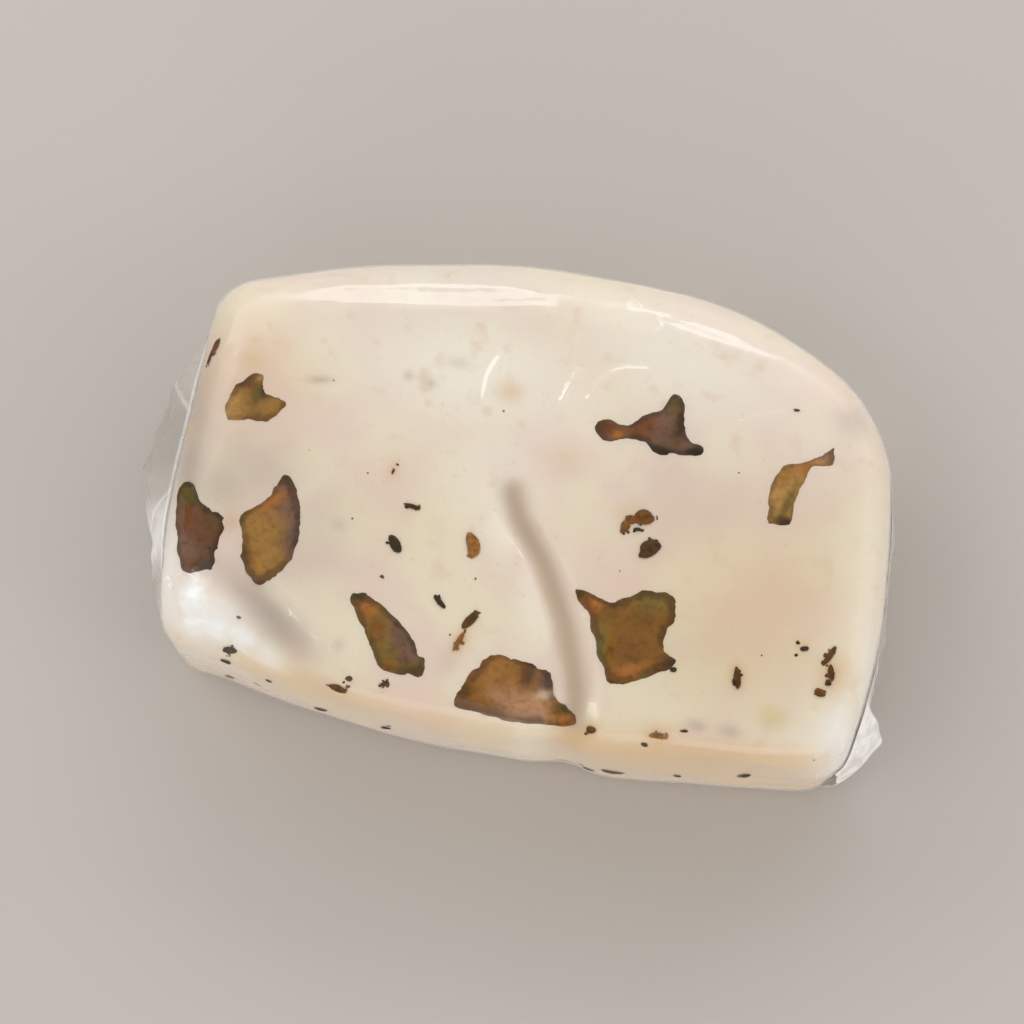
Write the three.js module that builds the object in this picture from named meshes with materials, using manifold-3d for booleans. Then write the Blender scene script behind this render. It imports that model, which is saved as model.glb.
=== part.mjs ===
// A block of white walnut nougat in tight clear film. The slab has two cut ends, a front edge that bows a
// little and a rear edge that bows a lot. Walnut pieces lie in its faces, cut or pressed flush. The film
// lies on the slab like a skin, so the slab's solid is drawn out to the film, and only the film's two
// folded ends, which stand clear of the slab, are solids of their own.
//
// Millimetres. +X along the block, +Y towards the bowed rear edge, +Z up. The block is drawn round the
// middle of its four corners, and moved at the end so that the origin is under the middle of its box.

import * as THREE from "three";
import { mergeVertices } from "three/addons/utils/BufferGeometryUtils.js";
import Module from "manifold-3d";

const wasm = await Module();
wasm.setup();

// ---- Driving dimensions -------------------------------------------------------------------------------

// Plan: the four corners, then how far each edge bows out between them and to which side it leans.
const LENGTH = 86;
const END_DEPTH = 44.5;
const LEAN = 2.8; // the rear corners stand this much further left than the front ones
const REAR_BOW = 11.5;
const REAR_BOW_SKEW = 0.28;
const FRONT_BOW = 5.2;
const FRONT_BOW_SKEW = -0.33;
const BOW_SQUARENESS = 2.4; // the power of the bow's curve: 2 is a parabola
const LEFT_BOW = 1.4;
const RIGHT_BOW = 2.7;
const CORNER_RADIUS = { frontLeft: 5, frontRight: 3.4, rearLeft: 3.4, rearRight: 6.5 };

// Section: the height over the middle, the crown of the top, and the rounding of its edges.
const HEIGHT = 24.6;
const CROWN = 0.8;
const FRONT_RADIUS = 4.6;
const REAR_RADIUS = 6.4;
const FOOT_RADIUS = 2.2;
const WALL_BULGE = 0.5;

// Unevenness: slow waves on the top and the walls, a corner that sags, and two dents left by handling.
// A wave repeats after about six times the lengths given for it.
const TOP_WAVES = [
  { height: 0.22, along: 8, across: 7, shift: 1 },
  { height: 0.12, along: 4.6, across: 6, shift: 0 },
];
const WALL_WAVE = { depth: 0.3, along: 6, across: 5, up: 4, turnAlong: 11, turnUp: 7 };
const SAG = { x: -41, y: -22, depth: 2.2, reach: 11 };
const CREASE = {
  points: [[-4.6, 7.5], [-1.8, 0.7], [4.3, -6.0], [8.8, -13.0], [11.2, -19.5], [11.0, -30]],
  depth: 1.5,
  width: 1.7,
  lipHeight: 0.5,
};
const FRONT_LEFT_DENT = {
  points: [[-34.5, -13.8], [-28, -18.6], [-21.7, -22.9], [-18.5, -26]],
  depth: 1.1,
  width: 2.9,
  lipHeight: 0.3,
};
const LIP_OFFSET = 1.9; // a dent's lip stands this many of its widths from its line
const LINE_STEPS = 6; // short runs that a dent's line has for each of its points
const DENT_FADE = 0.35; // the share of a dent's length over which it deepens
const NOTCH = { x: 11.0, depth: 0.9, width: 2.4 }; // the crease runs on down the front wall

// Walnut pieces: how deep they go, how far their faces lie under the film and the gap round them.
const NUT_DEPTH = 4.2;
const NUT_TAPER = 0.82;
const NUT_RECESS = 0.2;
const GAP = 0.3;
const NUT_CORNERS = 6;
const NUT_BEND = 0.2; // how far a broken piece's edges bow, as a share of its width
const HOLLOW_SHARE = 0.4; // the share of its edges that bow in
const TURN_SPREAD = 0.55; // how uneven its corners are, in turn and in reach
const REACH_SPREAD = 0.22;
const MITRE_FLOOR = 0.3; // below it a mitred corner would run out too far
const ARC_STEP = 2;
const OVERSHOOT = 4; // how far a cutting blank stands out of the face that trims it

// Crumbs of walnut under the film: how far they lift it.
const CRUMB_LIFT = 0.3;
const CRUMB_DEPTH = 1.2;
const CRUMB_CORNERS = 5;

// The film's folded ends: thin sheets along the end walls, each with one flap that stands off.
const FILM_THICKNESS = 0.45;
const FILM_PLEAT = 0.35;
const FILM_PLEATS = 5;
const FILM_SPAN = 0.95; // the share of the end wall that a folded end covers
const FILM_TAPER = 6; // how much lower a folded end stands at its two sides
const FLAP_ROOT = -0.1; // where a flap begins to stand off, as a share of its run
const LEFT_FLAP = { reach: 5.2, peak: -1.4, front: -17, rear: 19, low: 0.7, high: 17, crest: 0.42 };
const RIGHT_FLAP = { reach: 3.4, peak: -14, front: -24, rear: -9.5, low: 0.7, high: 13, crest: 0.3 };

// Meshes: cells of the top's grid, whose columns crowd round the crease, rings round the edges and the
// walls, and cells of the film's ends.
const CELLS_ALONG = 38;
const CELLS_ACROSS = 26;
const CREASE_COLUMN = 20;
const FINE_COLUMNS = 4; // on each side of the crease
const FINE_STEP = 0.85;
const EDGE_RINGS = 4;
const WALL_RINGS = 3;
const FOOT_RINGS = 2;
const FILM_COLUMNS = 18;
const FILM_ROWS = 5;

const HALF_LENGTH = LENGTH / 2;
const HALF_DEPTH = END_DEPTH / 2;

// ---- Materials ----------------------------------------------------------------------------------------

const nougatMaterial = new THREE.MeshStandardMaterial({ color: 0xede5d0, roughness: 0.35, metalness: 0 });
const walnutMaterial = new THREE.MeshStandardMaterial({ color: 0x8a6436, roughness: 0.5, metalness: 0 });
const filmMaterial = new THREE.MeshStandardMaterial({
  color: 0xe9edf0,
  roughness: 0.08,
  metalness: 0,
  transparent: true,
  opacity: 0.4,
});

// ---- The slab's form ----------------------------------------------------------------------------------

// The share of an edge's bow at a place along it, from -1 to 1.
function bow(along, skew) {
  return (1 - Math.abs(along) ** BOW_SQUARENESS) * (1 + skew * along);
}

function cornerRadius(u, v) {
  if (v < 0) return u < 0 ? CORNER_RADIUS.frontLeft : CORNER_RADIUS.frontRight;
  return u < 0 ? CORNER_RADIUS.rearLeft : CORNER_RADIUS.rearRight;
}

// Bends the square corners of the unit square to quarter circles.
function softenCorner(u, v) {
  const zoneU = cornerRadius(u, v) / HALF_LENGTH;
  const zoneV = cornerRadius(u, v) / HALF_DEPTH;
  const intoU = Math.max(0, (Math.abs(u) - 1 + zoneU) / zoneU);
  const intoV = Math.max(0, (Math.abs(v) - 1 + zoneV) / zoneV);
  const backU = intoU * (1 - Math.sqrt(1 - (intoV * intoV) / 2)) * zoneU;
  const backV = intoV * (1 - Math.sqrt(1 - (intoU * intoU) / 2)) * zoneV;
  return [u - Math.sign(u) * backU, v - Math.sign(v) * backV];
}

// The plan point of a place in the unit square, drawn in from the outline by an inset.
function planPoint(squareU, squareV, inset) {
  const [softU, softV] = softenCorner(squareU, squareV);
  const u = softU * (1 - inset / HALF_LENGTH);
  const v = softV * (1 - inset / HALF_DEPTH);
  const right = ((1 + u) / 2) * RIGHT_BOW * (1 - v * v);
  const left = ((1 - u) / 2) * LEFT_BOW * (1 - v * v);
  const rear = ((1 + v) / 2) * REAR_BOW * bow(u, REAR_BOW_SKEW);
  const front = ((1 - v) / 2) * FRONT_BOW * bow(u, FRONT_BOW_SKEW);
  return [HALF_LENGTH * u - (LEAN / 2) * v + right - left, HALF_DEPTH * v + rear - front];
}

// The signed distance of a plan point from a dent's line, and how far along it the nearest place is.
function nearestOnLine(x, y, line) {
  let best = { distance: Infinity, side: 0, along: 0 };
  for (let i = 0; i + 1 < line.length; i += 1) {
    const [start, end] = [line[i], line[i + 1]];
    const run = new THREE.Vector2().subVectors(end, start);
    const offset = new THREE.Vector2(x - start.x, y - start.y);
    const share = THREE.MathUtils.clamp(offset.dot(run) / run.lengthSq(), 0, 1);
    const distance = offset.clone().addScaledVector(run, -share).length();
    if (distance < best.distance) {
      best = { distance, side: Math.sign(run.cross(offset)), along: (i + share) / (line.length - 1) };
    }
  }
  return best;
}

function dentLine(dent) {
  const points = dent.points.map(([x, y]) => new THREE.Vector2(x, y));
  return new THREE.SplineCurve(points).getPoints(LINE_STEPS * points.length);
}

const creaseLine = dentLine(CREASE);
const frontLeftLine = dentLine(FRONT_LEFT_DENT);

// The crease's place along the block at a depth across it.
function creaseAlong(y) {
  if (y >= creaseLine[0].y) return creaseLine[0].x;
  for (let i = 0; i + 1 < creaseLine.length; i += 1) {
    const [start, end] = [creaseLine[i], creaseLine[i + 1]];
    if (y >= end.y) return THREE.MathUtils.mapLinear(y, start.y, end.y, start.x, end.x);
  }
  return creaseLine.at(-1).x;
}

// A dent's height at a plan point: a soft groove that deepens along its line, with a lip on its far side.
function dentHeight(x, y, dent, line) {
  const near = nearestOnLine(x, y, line);
  const reach = near.distance / dent.width;
  const groove = Math.exp(-reach * reach);
  const lip = near.side < 0 ? Math.exp(-((reach - LIP_OFFSET) ** 2)) : 0;
  const fade = THREE.MathUtils.smoothstep(near.along, 0, DENT_FADE);
  return fade * (dent.lipHeight * lip - dent.depth * groove);
}

function waveHeight(x, y, { height, along, across, shift }) {
  return height * Math.sin(x / along + shift) * Math.cos(y / across - shift / 2);
}

function topHeight(x, y) {
  const crown = (CROWN / 2) * ((x / HALF_LENGTH) ** 2 + (y / (HALF_DEPTH + FRONT_BOW)) ** 2);
  const wave = TOP_WAVES.reduce((sum, one) => sum + waveHeight(x, y, one), 0);
  const sag = SAG.depth * Math.exp(-(((x - SAG.x) ** 2 + (y - SAG.y) ** 2) / SAG.reach ** 2));
  const dents = dentHeight(x, y, CREASE, creaseLine) + dentHeight(x, y, FRONT_LEFT_DENT, frontLeftLine);
  return HEIGHT - crown + wave - sag + dents;
}

function edgeRadius(v) {
  return THREE.MathUtils.lerp(FRONT_RADIUS, REAR_RADIUS, (v + 1) / 2);
}

// How far the wall stands inside the outline at a place: its bulge, its waves and the crease's notch.
function wallInset(u, v, height) {
  const [x, y] = planPoint(u, v, 0);
  const { depth, along, across, up, turnAlong, turnUp } = WALL_WAVE;
  const turn = Math.sin(height / turnUp + x / turnAlong);
  const wave = depth * turn * Math.sin(x / along + y / across + height / up);
  const notch = v <= -1 ? NOTCH.depth * Math.exp(-(((x - NOTCH.x) / NOTCH.width) ** 2)) : 0;
  const bulge = WALL_BULGE * Math.cos((Math.PI * height) / HEIGHT) ** 2;
  return wave + notch + bulge;
}

// The slab's surface at a place on its rim, from 0 at the top's edge to 1 at the wall's head.
function edgePoint(u, v, turn) {
  const radius = edgeRadius(v);
  const angle = (turn * Math.PI) / 2;
  const [topX, topY] = planPoint(u, v, radius);
  const height = topHeight(topX, topY) - radius * (1 - Math.cos(angle));
  const inset = radius * (1 - Math.sin(angle)) + wallInset(u, v, height) * turn;
  const [x, y] = planPoint(u, v, inset);
  return [x, y, height];
}

function wallPoint(u, v, height, outward = 0) {
  const [x, y] = planPoint(u, v, wallInset(u, v, height) - outward);
  return [x, y, height];
}

// A grid column's place in the unit square: one column runs along the crease and others crowd round it.
function columnPlace(column, v) {
  const middle = creaseAlong(planPoint(0, v, 0)[1]) / HALF_LENGTH;
  const away = column - CREASE_COLUMN;
  const step = FINE_STEP / HALF_LENGTH;
  if (Math.abs(away) <= FINE_COLUMNS) return middle + away * step;
  const side = Math.sign(away);
  const last = side < 0 ? 0 : CELLS_ALONG;
  const fineEnd = CREASE_COLUMN + side * FINE_COLUMNS;
  return THREE.MathUtils.mapLinear(column, fineEnd, last, middle + side * FINE_COLUMNS * step, side);
}

function squarePlace(column, row) {
  const v = -1 + (2 * row) / CELLS_ACROSS;
  return [columnPlace(column, v), v];
}

// Places round the grid's rim, counter-clockwise from its front left corner.
function rimPlaces() {
  const places = [];
  for (let i = 0; i < CELLS_ALONG; i += 1) places.push([i, 0]);
  for (let j = 0; j < CELLS_ACROSS; j += 1) places.push([CELLS_ALONG, j]);
  for (let i = CELLS_ALONG; i > 0; i -= 1) places.push([i, CELLS_ACROSS]);
  for (let j = CELLS_ACROSS; j > 0; j -= 1) places.push([0, j]);
  return places;
}

function slabGeometry() {
  const positions = [];
  const index = [];
  const addPoint = (point) => positions.push(...point) / 3 - 1;

  const grid = [];
  for (let j = 0; j <= CELLS_ACROSS; j += 1) {
    for (let i = 0; i <= CELLS_ALONG; i += 1) {
      const [u, v] = squarePlace(i, j);
      const [x, y] = planPoint(u, v, edgeRadius(v));
      grid.push(addPoint([x, y, topHeight(x, y)]));
    }
  }
  const gridAt = (i, j) => grid[j * (CELLS_ALONG + 1) + i];
  for (let j = 0; j < CELLS_ACROSS; j += 1) {
    for (let i = 0; i < CELLS_ALONG; i += 1) {
      index.push(gridAt(i, j), gridAt(i + 1, j), gridAt(i + 1, j + 1));
      index.push(gridAt(i, j), gridAt(i + 1, j + 1), gridAt(i, j + 1));
    }
  }

  const rim = rimPlaces();
  let upper = rim.map(([i, j]) => gridAt(i, j));
  const addRing = (pointAt) => {
    const lower = rim.map(([i, j]) => addPoint(pointAt(...squarePlace(i, j))));
    rim.forEach((_, k) => {
      const next = (k + 1) % rim.length;
      index.push(upper[k], lower[k], lower[next], upper[k], lower[next], upper[next]);
    });
    upper = lower;
  };
  for (let ring = 1; ring <= EDGE_RINGS; ring += 1) {
    addRing((u, v) => edgePoint(u, v, ring / EDGE_RINGS));
  }
  for (let ring = 1; ring <= WALL_RINGS; ring += 1) {
    addRing((u, v) => {
      const head = edgePoint(u, v, 1)[2];
      return wallPoint(u, v, THREE.MathUtils.lerp(head, FOOT_RADIUS, ring / WALL_RINGS));
    });
  }
  for (let ring = 1; ring <= FOOT_RINGS; ring += 1) {
    const angle = ((ring / FOOT_RINGS) * Math.PI) / 2;
    addRing((u, v) => {
      const [x, y] = wallPoint(u, v, FOOT_RADIUS, -FOOT_RADIUS * (1 - Math.cos(angle)));
      return [x, y, FOOT_RADIUS * (1 - Math.sin(angle))];
    });
  }

  const middle = addPoint([0, 0, 0]);
  rim.forEach((_, k) => index.push(middle, upper[(k + 1) % rim.length], upper[k]));

  const geometry = new THREE.BufferGeometry();
  geometry.setAttribute("position", new THREE.Float32BufferAttribute(positions, 3));
  geometry.setIndex(index);
  return geometry;
}

// ---- Solids and back ----------------------------------------------------------------------------------

function solidOf(geometry) {
  const bare = geometry.clone();
  bare.deleteAttribute("normal");
  bare.deleteAttribute("uv");
  const merged = mergeVertices(bare);
  const vertProperties = merged.attributes.position.array;
  const triVerts = new Uint32Array(merged.index.array);
  return new wasm.Manifold(new wasm.Mesh({ numProp: 3, vertProperties, triVerts }));
}

function geometryOf(solid) {
  const { vertProperties, triVerts } = solid.getMesh();
  const geometry = new THREE.BufferGeometry();
  geometry.setAttribute("position", new THREE.BufferAttribute(vertProperties, 3));
  geometry.setIndex(new THREE.BufferAttribute(triVerts, 1));
  geometry.computeVertexNormals();
  return geometry;
}

// ---- Walnut pieces and crumbs -------------------------------------------------------------------------

// An outline from its corners, counter-clockwise. Each corner is [x, y, bend], where bend is how far the
// edge that leaves it bows out, or in where it is negative.
function bentOutline(corners) {
  const points = [];
  corners.forEach(([x, y, bend], i) => {
    const [endX, endY] = corners[(i + 1) % corners.length];
    const start = new THREE.Vector2(x, y);
    const run = new THREE.Vector2(endX - x, endY - y);
    const outward = new THREE.Vector2(run.y, -run.x).normalize();
    const steps = bend === 0 ? 1 : Math.max(2, Math.round(run.length() / ARC_STEP));
    for (let step = 0; step < steps; step += 1) {
      const share = step / steps;
      const bulge = 4 * bend * share * (1 - share);
      points.push(start.clone().addScaledVector(run, share).addScaledVector(outward, bulge));
    }
  });
  return points;
}

// The outline moved out by a growth all round, with its sharp corners mitred up to a limit.
function grownOutline(points, growth) {
  const outwardOf = (start, end) => new THREE.Vector2(end.y - start.y, start.x - end.x).normalize();
  return points.map((point, i) => {
    const before = outwardOf(points[(i + points.length - 1) % points.length], point);
    const after = outwardOf(point, points[(i + 1) % points.length]);
    const mitre = before.clone().add(after).divideScalar(Math.max(MITRE_FLOOR, 1 + before.dot(after)));
    return point.clone().addScaledVector(mitre, growth);
  });
}

// A blank in a face's own axes, x and y in the face and z out of it: it has the outline at the face,
// narrows to its foot at a depth, and widens as evenly above the face.
function blankSolid(points, depth, place) {
  const middle = points.reduce((sum, point) => sum.add(point), new THREE.Vector2());
  middle.divideScalar(points.length);
  const positions = [];
  for (const height of [OVERSHOOT, -depth]) {
    const scale = 1 + ((1 - NUT_TAPER) * height) / depth;
    for (const point of points) {
      const { x, y } = point.clone().sub(middle).multiplyScalar(scale).add(middle);
      positions.push(x, y, height);
    }
  }
  const count = points.length;
  const index = [];
  for (let i = 0; i < count; i += 1) {
    const next = (i + 1) % count;
    index.push(i, count + i, count + next, i, count + next, next);
  }
  for (const [a, b, c] of THREE.ShapeUtils.triangulateShape(points, [])) {
    index.push(a, b, c, count + a, count + c, count + b);
  }
  const geometry = new THREE.BufferGeometry();
  geometry.setAttribute("position", new THREE.Float32BufferAttribute(positions, 3));
  geometry.setIndex(index);
  return solidOf(geometry.applyMatrix4(place));
}

// Walnut faces in the top, in the block's own x and y: a winged pair on the left, a chip behind it, a
// wedge and a dome by the front edge, a ragged square and a dark bird shape, and a sickle on the right.
const TOP_NUTS = [
  [[-41.5, -5.0, 0.2], [-42.3, -6.4, 0.4], [-41.1, -11.6, 0.3], [-39.1, -15.2, 0], [-35.2, -15.2, 0],
    [-35.5, -13.1, -0.1], [-35.2, -9.4, 0], [-35.8, -8.1, 0], [-37.4, -7.7, -0.4], [-40.3, -5.3, 0]],
  [[-29.6, -1.6, 0], [-30.1, -2.5, -0.5], [-33.9, -7.5, 0], [-34.0, -8.5, 0], [-32.7, -10.6, 0],
    [-32.5, -13.0, 0], [-31.2, -14.8, 0.2], [-29.4, -15.8, 0.4], [-26.1, -11.5, 0.6], [-26.9, -4.6, 0.3],
    [-28.8, -1.8, 0]],
  [[-36.0, 10.9, 0], [-38.2, 8.5, 0.1], [-38.9, 5.8, 0.2], [-38.3, 3.8, 0], [-35.2, 4.2, 0], [-33.5, 4.6, 0.2],
    [-31.5, 7.2, 0], [-31.8, 7.8, 0], [-34.6, 8.0, 0], [-35.2, 9.6, 0], [-35.3, 10.6, 0]],
  [[-18.3, -14.2, 0], [-18.2, -14.8, 0], [-14.7, -19.5, 0], [-12.9, -22.1, 0.2], [-11.3, -22.9, 0],
    [-7.3, -22.4, 0], [-7.2, -20.3, 0], [-8.5, -20.0, 0.3], [-10.2, -17.4, 0], [-12.9, -15.5, 0.2],
    [-16.5, -13.9, 0]],
  [[0.5, -17.7, 0.2], [-1.1, -19.1, 0], [-2.1, -20.8, 0.2], [-3.0, -25.0, 0], [4.0, -25.3, 0], [10.5, -24.6, 0.3],
    [12.1, -22.9, 0.2], [9.7, -21.9, -0.1], [8.4, -21.0, 0.2], [7.3, -19.0, 0.2], [5.3, -17.9, 0]],
  [[8.8, -7.9, 0], [9.0, -8.9, 0], [10.7, -10.6, 0], [10.9, -12.0, 0], [12.1, -13.5, 0], [12.6, -15.4, 0],
    [13.8, -16.7, 0], [14.3, -18.0, 0.2], [16.1, -18.5, 0], [21.7, -15.1, 0], [22.2, -13.9, 0], [20.3, -13.0, -0.2],
    [20.2, -10.1, 0], [20.9, -9.3, 0], [20.8, -7.0, 0.3], [19.3, -5.7, 0], [16.8, -6.0, -0.1], [12.9, -8.6, 0],
    [10.1, -8.0, 0]],
  [[14.5, 18.4, 0], [13.6, 16.2, 0], [11.5, 15.3, 0], [10.2, 13.6, 0], [9.0, 13.3, 0], [6.9, 13.6, 0.3],
    [6.2, 12.3, 0.2], [7.3, 11.1, 0], [10.6, 11.7, 0], [12.7, 12.1, 0], [13.7, 11.1, 0.2], [19.5, 11.7, 0],
    [19.8, 12.8, 0], [18.3, 12.9, -0.2], [17.0, 14.8, 0], [16.6, 17.8, 0.2], [15.2, 18.6, 0]],
  [[36.1, 17.7, 0], [34.7, 15.8, 0], [32.7, 14.1, 0], [29.8, 12.9, 0.3], [28.5, 9.5, 0.2], [29.2, 4.9, 0],
    [32.2, 5.1, 0], [32.2, 6.0, -0.4], [32.9, 12.3, 0], [33.1, 13.6, 0], [35.8, 14.2, 0], [35.5, 16.3, 0]],
];

// The pieces in the other faces: [along the face, up or across it, length, width, turn in degrees]. The
// front wall has crumbs alone.
const WALL_NUTS = {
  right: [[-0.35, 10.5, 9, 8, 30], [0.42, 8, 12, 6.5, -20]],
  rear: [[-0.6, 9, 9, 7.5, 10], [0.02, 11, 13, 8, -12], [0.55, 8.5, 8, 8, 50]],
  left: [[-0.1, 10.5, 10, 8, -25], [-0.68, 8, 6.5, 6.5, 0]],
  under: [[-28, 12, 14, 9, 25], [-24, -9, 9, 8, 80], [-3, 2, 12, 8, -30], [14, -15, 10, 8, 15],
    [19, 16, 13, 7, -60], [35, -4, 9, 9, 0]],
};

// Crumbs, face by face, with the same five numbers.
const CRUMBS = {
  top: [[14.0, 2.0, 4.8, 2.6, 35], [15.8, -1.1, 3.0, 2.4, 50], [-4.7, -5.4, 3.2, 2.0, -60],
    [-14.7, -6.9, 2.4, 1.5, -45], [-13.3, -2.0, 2.6, 1.1, 0], [-3.9, -16.2, 3.6, 1.4, 60],
    [-7.5, -13.1, 1.8, 1.2, -40], [29.6, -14.1, 2.6, 1.3, -65], [39.5, -10.7, 3.8, 1.6, 85],
    [22.4, -22.0, 3.8, 1.8, 10], [34.6, -18.0, 3.2, 2.2, 20], [-29.9, -23.4, 2.8, 2.2, 70],
    [-41.3, 12.5, 3.4, 1.5, 80], [-17.6, -24.6, 3.4, 1.6, 15]],
  front: [[-0.5, 12, 2.4, 1.6, 30], [0.36, 9, 3.0, 1.8, -20], [0.74, 14, 2.2, 1.4, 60]],
  right: [[0.0, 16, 2.6, 1.8, 10]],
  rear: [[-0.3, 5.5, 3.0, 2.0, 20], [0.28, 15, 2.4, 2.0, -50], [0.8, 12, 3.2, 1.6, 75]],
};

// A repeatable random number from 0 to 1.
function seededRandom(seed) {
  let state = seed;
  return () => {
    state = (state * 1103515245 + 12345) % 2147483648;
    return state / 2147483648;
  };
}

const random = seededRandom(29);

// A broken piece's outline: corners at uneven turns and reaches, with edges that bow out or in.
function brokenOutline(length, width, turnDegrees, cornerCount, bendShare) {
  const turn = THREE.MathUtils.degToRad(turnDegrees);
  const corners = [];
  for (let i = 0; i < cornerCount; i += 1) {
    const angle = ((i + TURN_SPREAD * random()) / cornerCount) * 2 * Math.PI;
    const reach = 1 - REACH_SPREAD * random();
    const corner = new THREE.Vector2(Math.cos(angle) * length, Math.sin(angle) * width);
    corner.multiplyScalar(reach / 2).rotateAround(new THREE.Vector2(), turn);
    const bend = (random() - HOLLOW_SHARE) * bendShare * Math.min(length, width);
    corners.push([corner.x, corner.y, bend]);
  }
  return bentOutline(corners);
}

// A face's own axes at a place on it, as a matrix: x along the face, y up it or across it, z out of it.
function facePlace(face, along, up) {
  const out = {
    top: [0, 0, 1],
    front: [0, -1, 0],
    right: [1, 0, 0],
    rear: [0, 1, 0],
    left: [-1, 0, 0],
    under: [0, 0, -1],
  }[face];
  const flat = face === "top" || face === "under";
  const zAxis = new THREE.Vector3(...out);
  const yAxis = flat ? new THREE.Vector3(0, 1, 0) : new THREE.Vector3(0, 0, 1);
  const xAxis = new THREE.Vector3().crossVectors(yAxis, zAxis);
  const square = { front: [along, -1], right: [1, along], rear: [along, 1], left: [-1, along] }[face];
  const origin = flat ? [along, up, face === "top" ? topHeight(along, up) : 0] : wallPoint(...square, up);
  return new THREE.Matrix4().makeBasis(xAxis, yAxis, zAxis).setPosition(...origin);
}

// The slab moved out of a face by a distance, or back into it, which trims the pieces in that face.
function slabMovedOut(face, distance) {
  const out = new THREE.Vector3().setFromMatrixColumn(facePlace(face, 0, HEIGHT / 2), 2);
  return solidOf(slabGeometry().translate(...out.multiplyScalar(distance)));
}

// Every walnut piece as its name, its outline, its place and the slab that trims it.
function walnutPieces() {
  const pieces = [];
  const flat = new THREE.Matrix4().setPosition(0, 0, HEIGHT);
  const topTrim = slabMovedOut("top", -NUT_RECESS);
  TOP_NUTS.forEach((corners, i) => {
    pieces.push({ name: `walnut_top_${i + 1}`, outline: bentOutline(corners), place: flat, trim: topTrim });
  });
  for (const [face, nuts] of Object.entries(WALL_NUTS)) {
    const trim = slabMovedOut(face, face === "under" ? -GAP : -NUT_RECESS);
    nuts.forEach(([along, up, length, width, turn], i) => {
      const outline = brokenOutline(length, width, turn, NUT_CORNERS, NUT_BEND);
      pieces.push({ name: `walnut_${face}_${i + 1}`, outline, place: facePlace(face, along, up), trim });
    });
  }
  return pieces;
}

// The crumbs of every face, as solids that lift the film a little.
function crumbSolids() {
  const solids = [];
  for (const [face, crumbs] of Object.entries(CRUMBS)) {
    const liftedSlab = slabMovedOut(face, CRUMB_LIFT);
    for (const [along, up, length, width, turn] of crumbs) {
      const outline = brokenOutline(length, width, turn, CRUMB_CORNERS, 0);
      solids.push(blankSolid(outline, CRUMB_DEPTH, facePlace(face, along, up)).intersect(liftedSlab));
    }
  }
  return solids;
}

// ---- The film's folded ends ---------------------------------------------------------------------------

// How far a flap stands off the end wall: most at its peak, and at its crest up the wall.
function flapStand(flap, y, share) {
  const foot = y < flap.peak ? flap.front : flap.rear;
  const run = (y - foot) / (flap.peak - foot);
  const rise = share < flap.crest ? share / flap.crest : (1 - share) / (1 - flap.crest);
  return flap.reach * THREE.MathUtils.smoothstep(run, FLAP_ROOT, 1) * Math.sin((rise * Math.PI) / 2);
}

function flapGeometry(end, flap) {
  const positions = [];
  const index = [];
  const layers = [GAP + FILM_THICKNESS, GAP];
  for (const clearance of layers) {
    for (let row = 0; row <= FILM_ROWS; row += 1) {
      for (let column = 0; column <= FILM_COLUMNS; column += 1) {
        const share = row / FILM_ROWS;
        const along = THREE.MathUtils.lerp(-FILM_SPAN, FILM_SPAN, column / FILM_COLUMNS);
        const head = flap.high - FILM_TAPER * Math.abs(along) ** 3;
        const height = THREE.MathUtils.lerp(flap.low, head, share);
        const y = planPoint(end, along, 0)[1];
        const pleat = FILM_PLEAT * Math.sin(Math.PI * share) * Math.sin(FILM_PLEATS * Math.PI * along) ** 2;
        const outward = clearance + flapStand(flap, y, share) + pleat;
        positions.push(...wallPoint(end, along, height, outward));
      }
    }
  }
  const columns = FILM_COLUMNS + 1;
  const layer = columns * (FILM_ROWS + 1);
  const quad = (a, b, c, d) => index.push(a, b, c, a, c, d);
  for (let row = 0; row < FILM_ROWS; row += 1) {
    for (let column = 0; column < FILM_COLUMNS; column += 1) {
      const a = row * columns + column;
      quad(a, a + 1, a + 1 + columns, a + columns);
      quad(layer + a, layer + a + columns, layer + a + 1 + columns, layer + a + 1);
    }
  }
  for (let column = 0; column < FILM_COLUMNS; column += 1) {
    const top = FILM_ROWS * columns + column;
    quad(column, column + layer, column + 1 + layer, column + 1);
    quad(top, top + 1, top + 1 + layer, top + layer);
  }
  for (let row = 0; row < FILM_ROWS; row += 1) {
    const front = row * columns;
    const rear = front + FILM_COLUMNS;
    quad(front, front + columns, front + columns + layer, front + layer);
    quad(rear, rear + layer, rear + columns + layer, rear + columns);
  }
  if (end < 0) index.reverse();
  const geometry = new THREE.BufferGeometry();
  geometry.setAttribute("position", new THREE.Float32BufferAttribute(positions, 3));
  geometry.setIndex(index);
  return geometry;
}

// ---- The whole block ----------------------------------------------------------------------------------

function buildMeshes() {
  const meshes = [];
  const addMesh = (name, geometry, material) => {
    const mesh = new THREE.Mesh(geometry, material);
    mesh.name = name;
    meshes.push(mesh);
  };

  let slab = solidOf(slabGeometry());
  for (const crumb of crumbSolids()) slab = slab.add(crumb);
  const nuts = walnutPieces();
  for (const nut of nuts) {
    slab = slab.subtract(blankSolid(grownOutline(nut.outline, GAP), NUT_DEPTH + GAP, nut.place));
  }
  addMesh("nougat_block", geometryOf(slab), nougatMaterial);
  for (const nut of nuts) {
    const piece = blankSolid(nut.outline, NUT_DEPTH, nut.place).intersect(nut.trim);
    addMesh(nut.name, geometryOf(piece), walnutMaterial);
  }
  addMesh("film_end_left", flapGeometry(-1, LEFT_FLAP), filmMaterial);
  addMesh("film_end_right", flapGeometry(1, RIGHT_FLAP), filmMaterial);
  return meshes;
}

function buildBlock() {
  const block = new THREE.Group();
  block.add(...buildMeshes());
  const box = new THREE.Box3().setFromObject(block, true);
  const middle = box.getCenter(new THREE.Vector3());
  block.position.set(-middle.x, -middle.y, -box.min.z);
  return block;
}

export default buildBlock();
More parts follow.
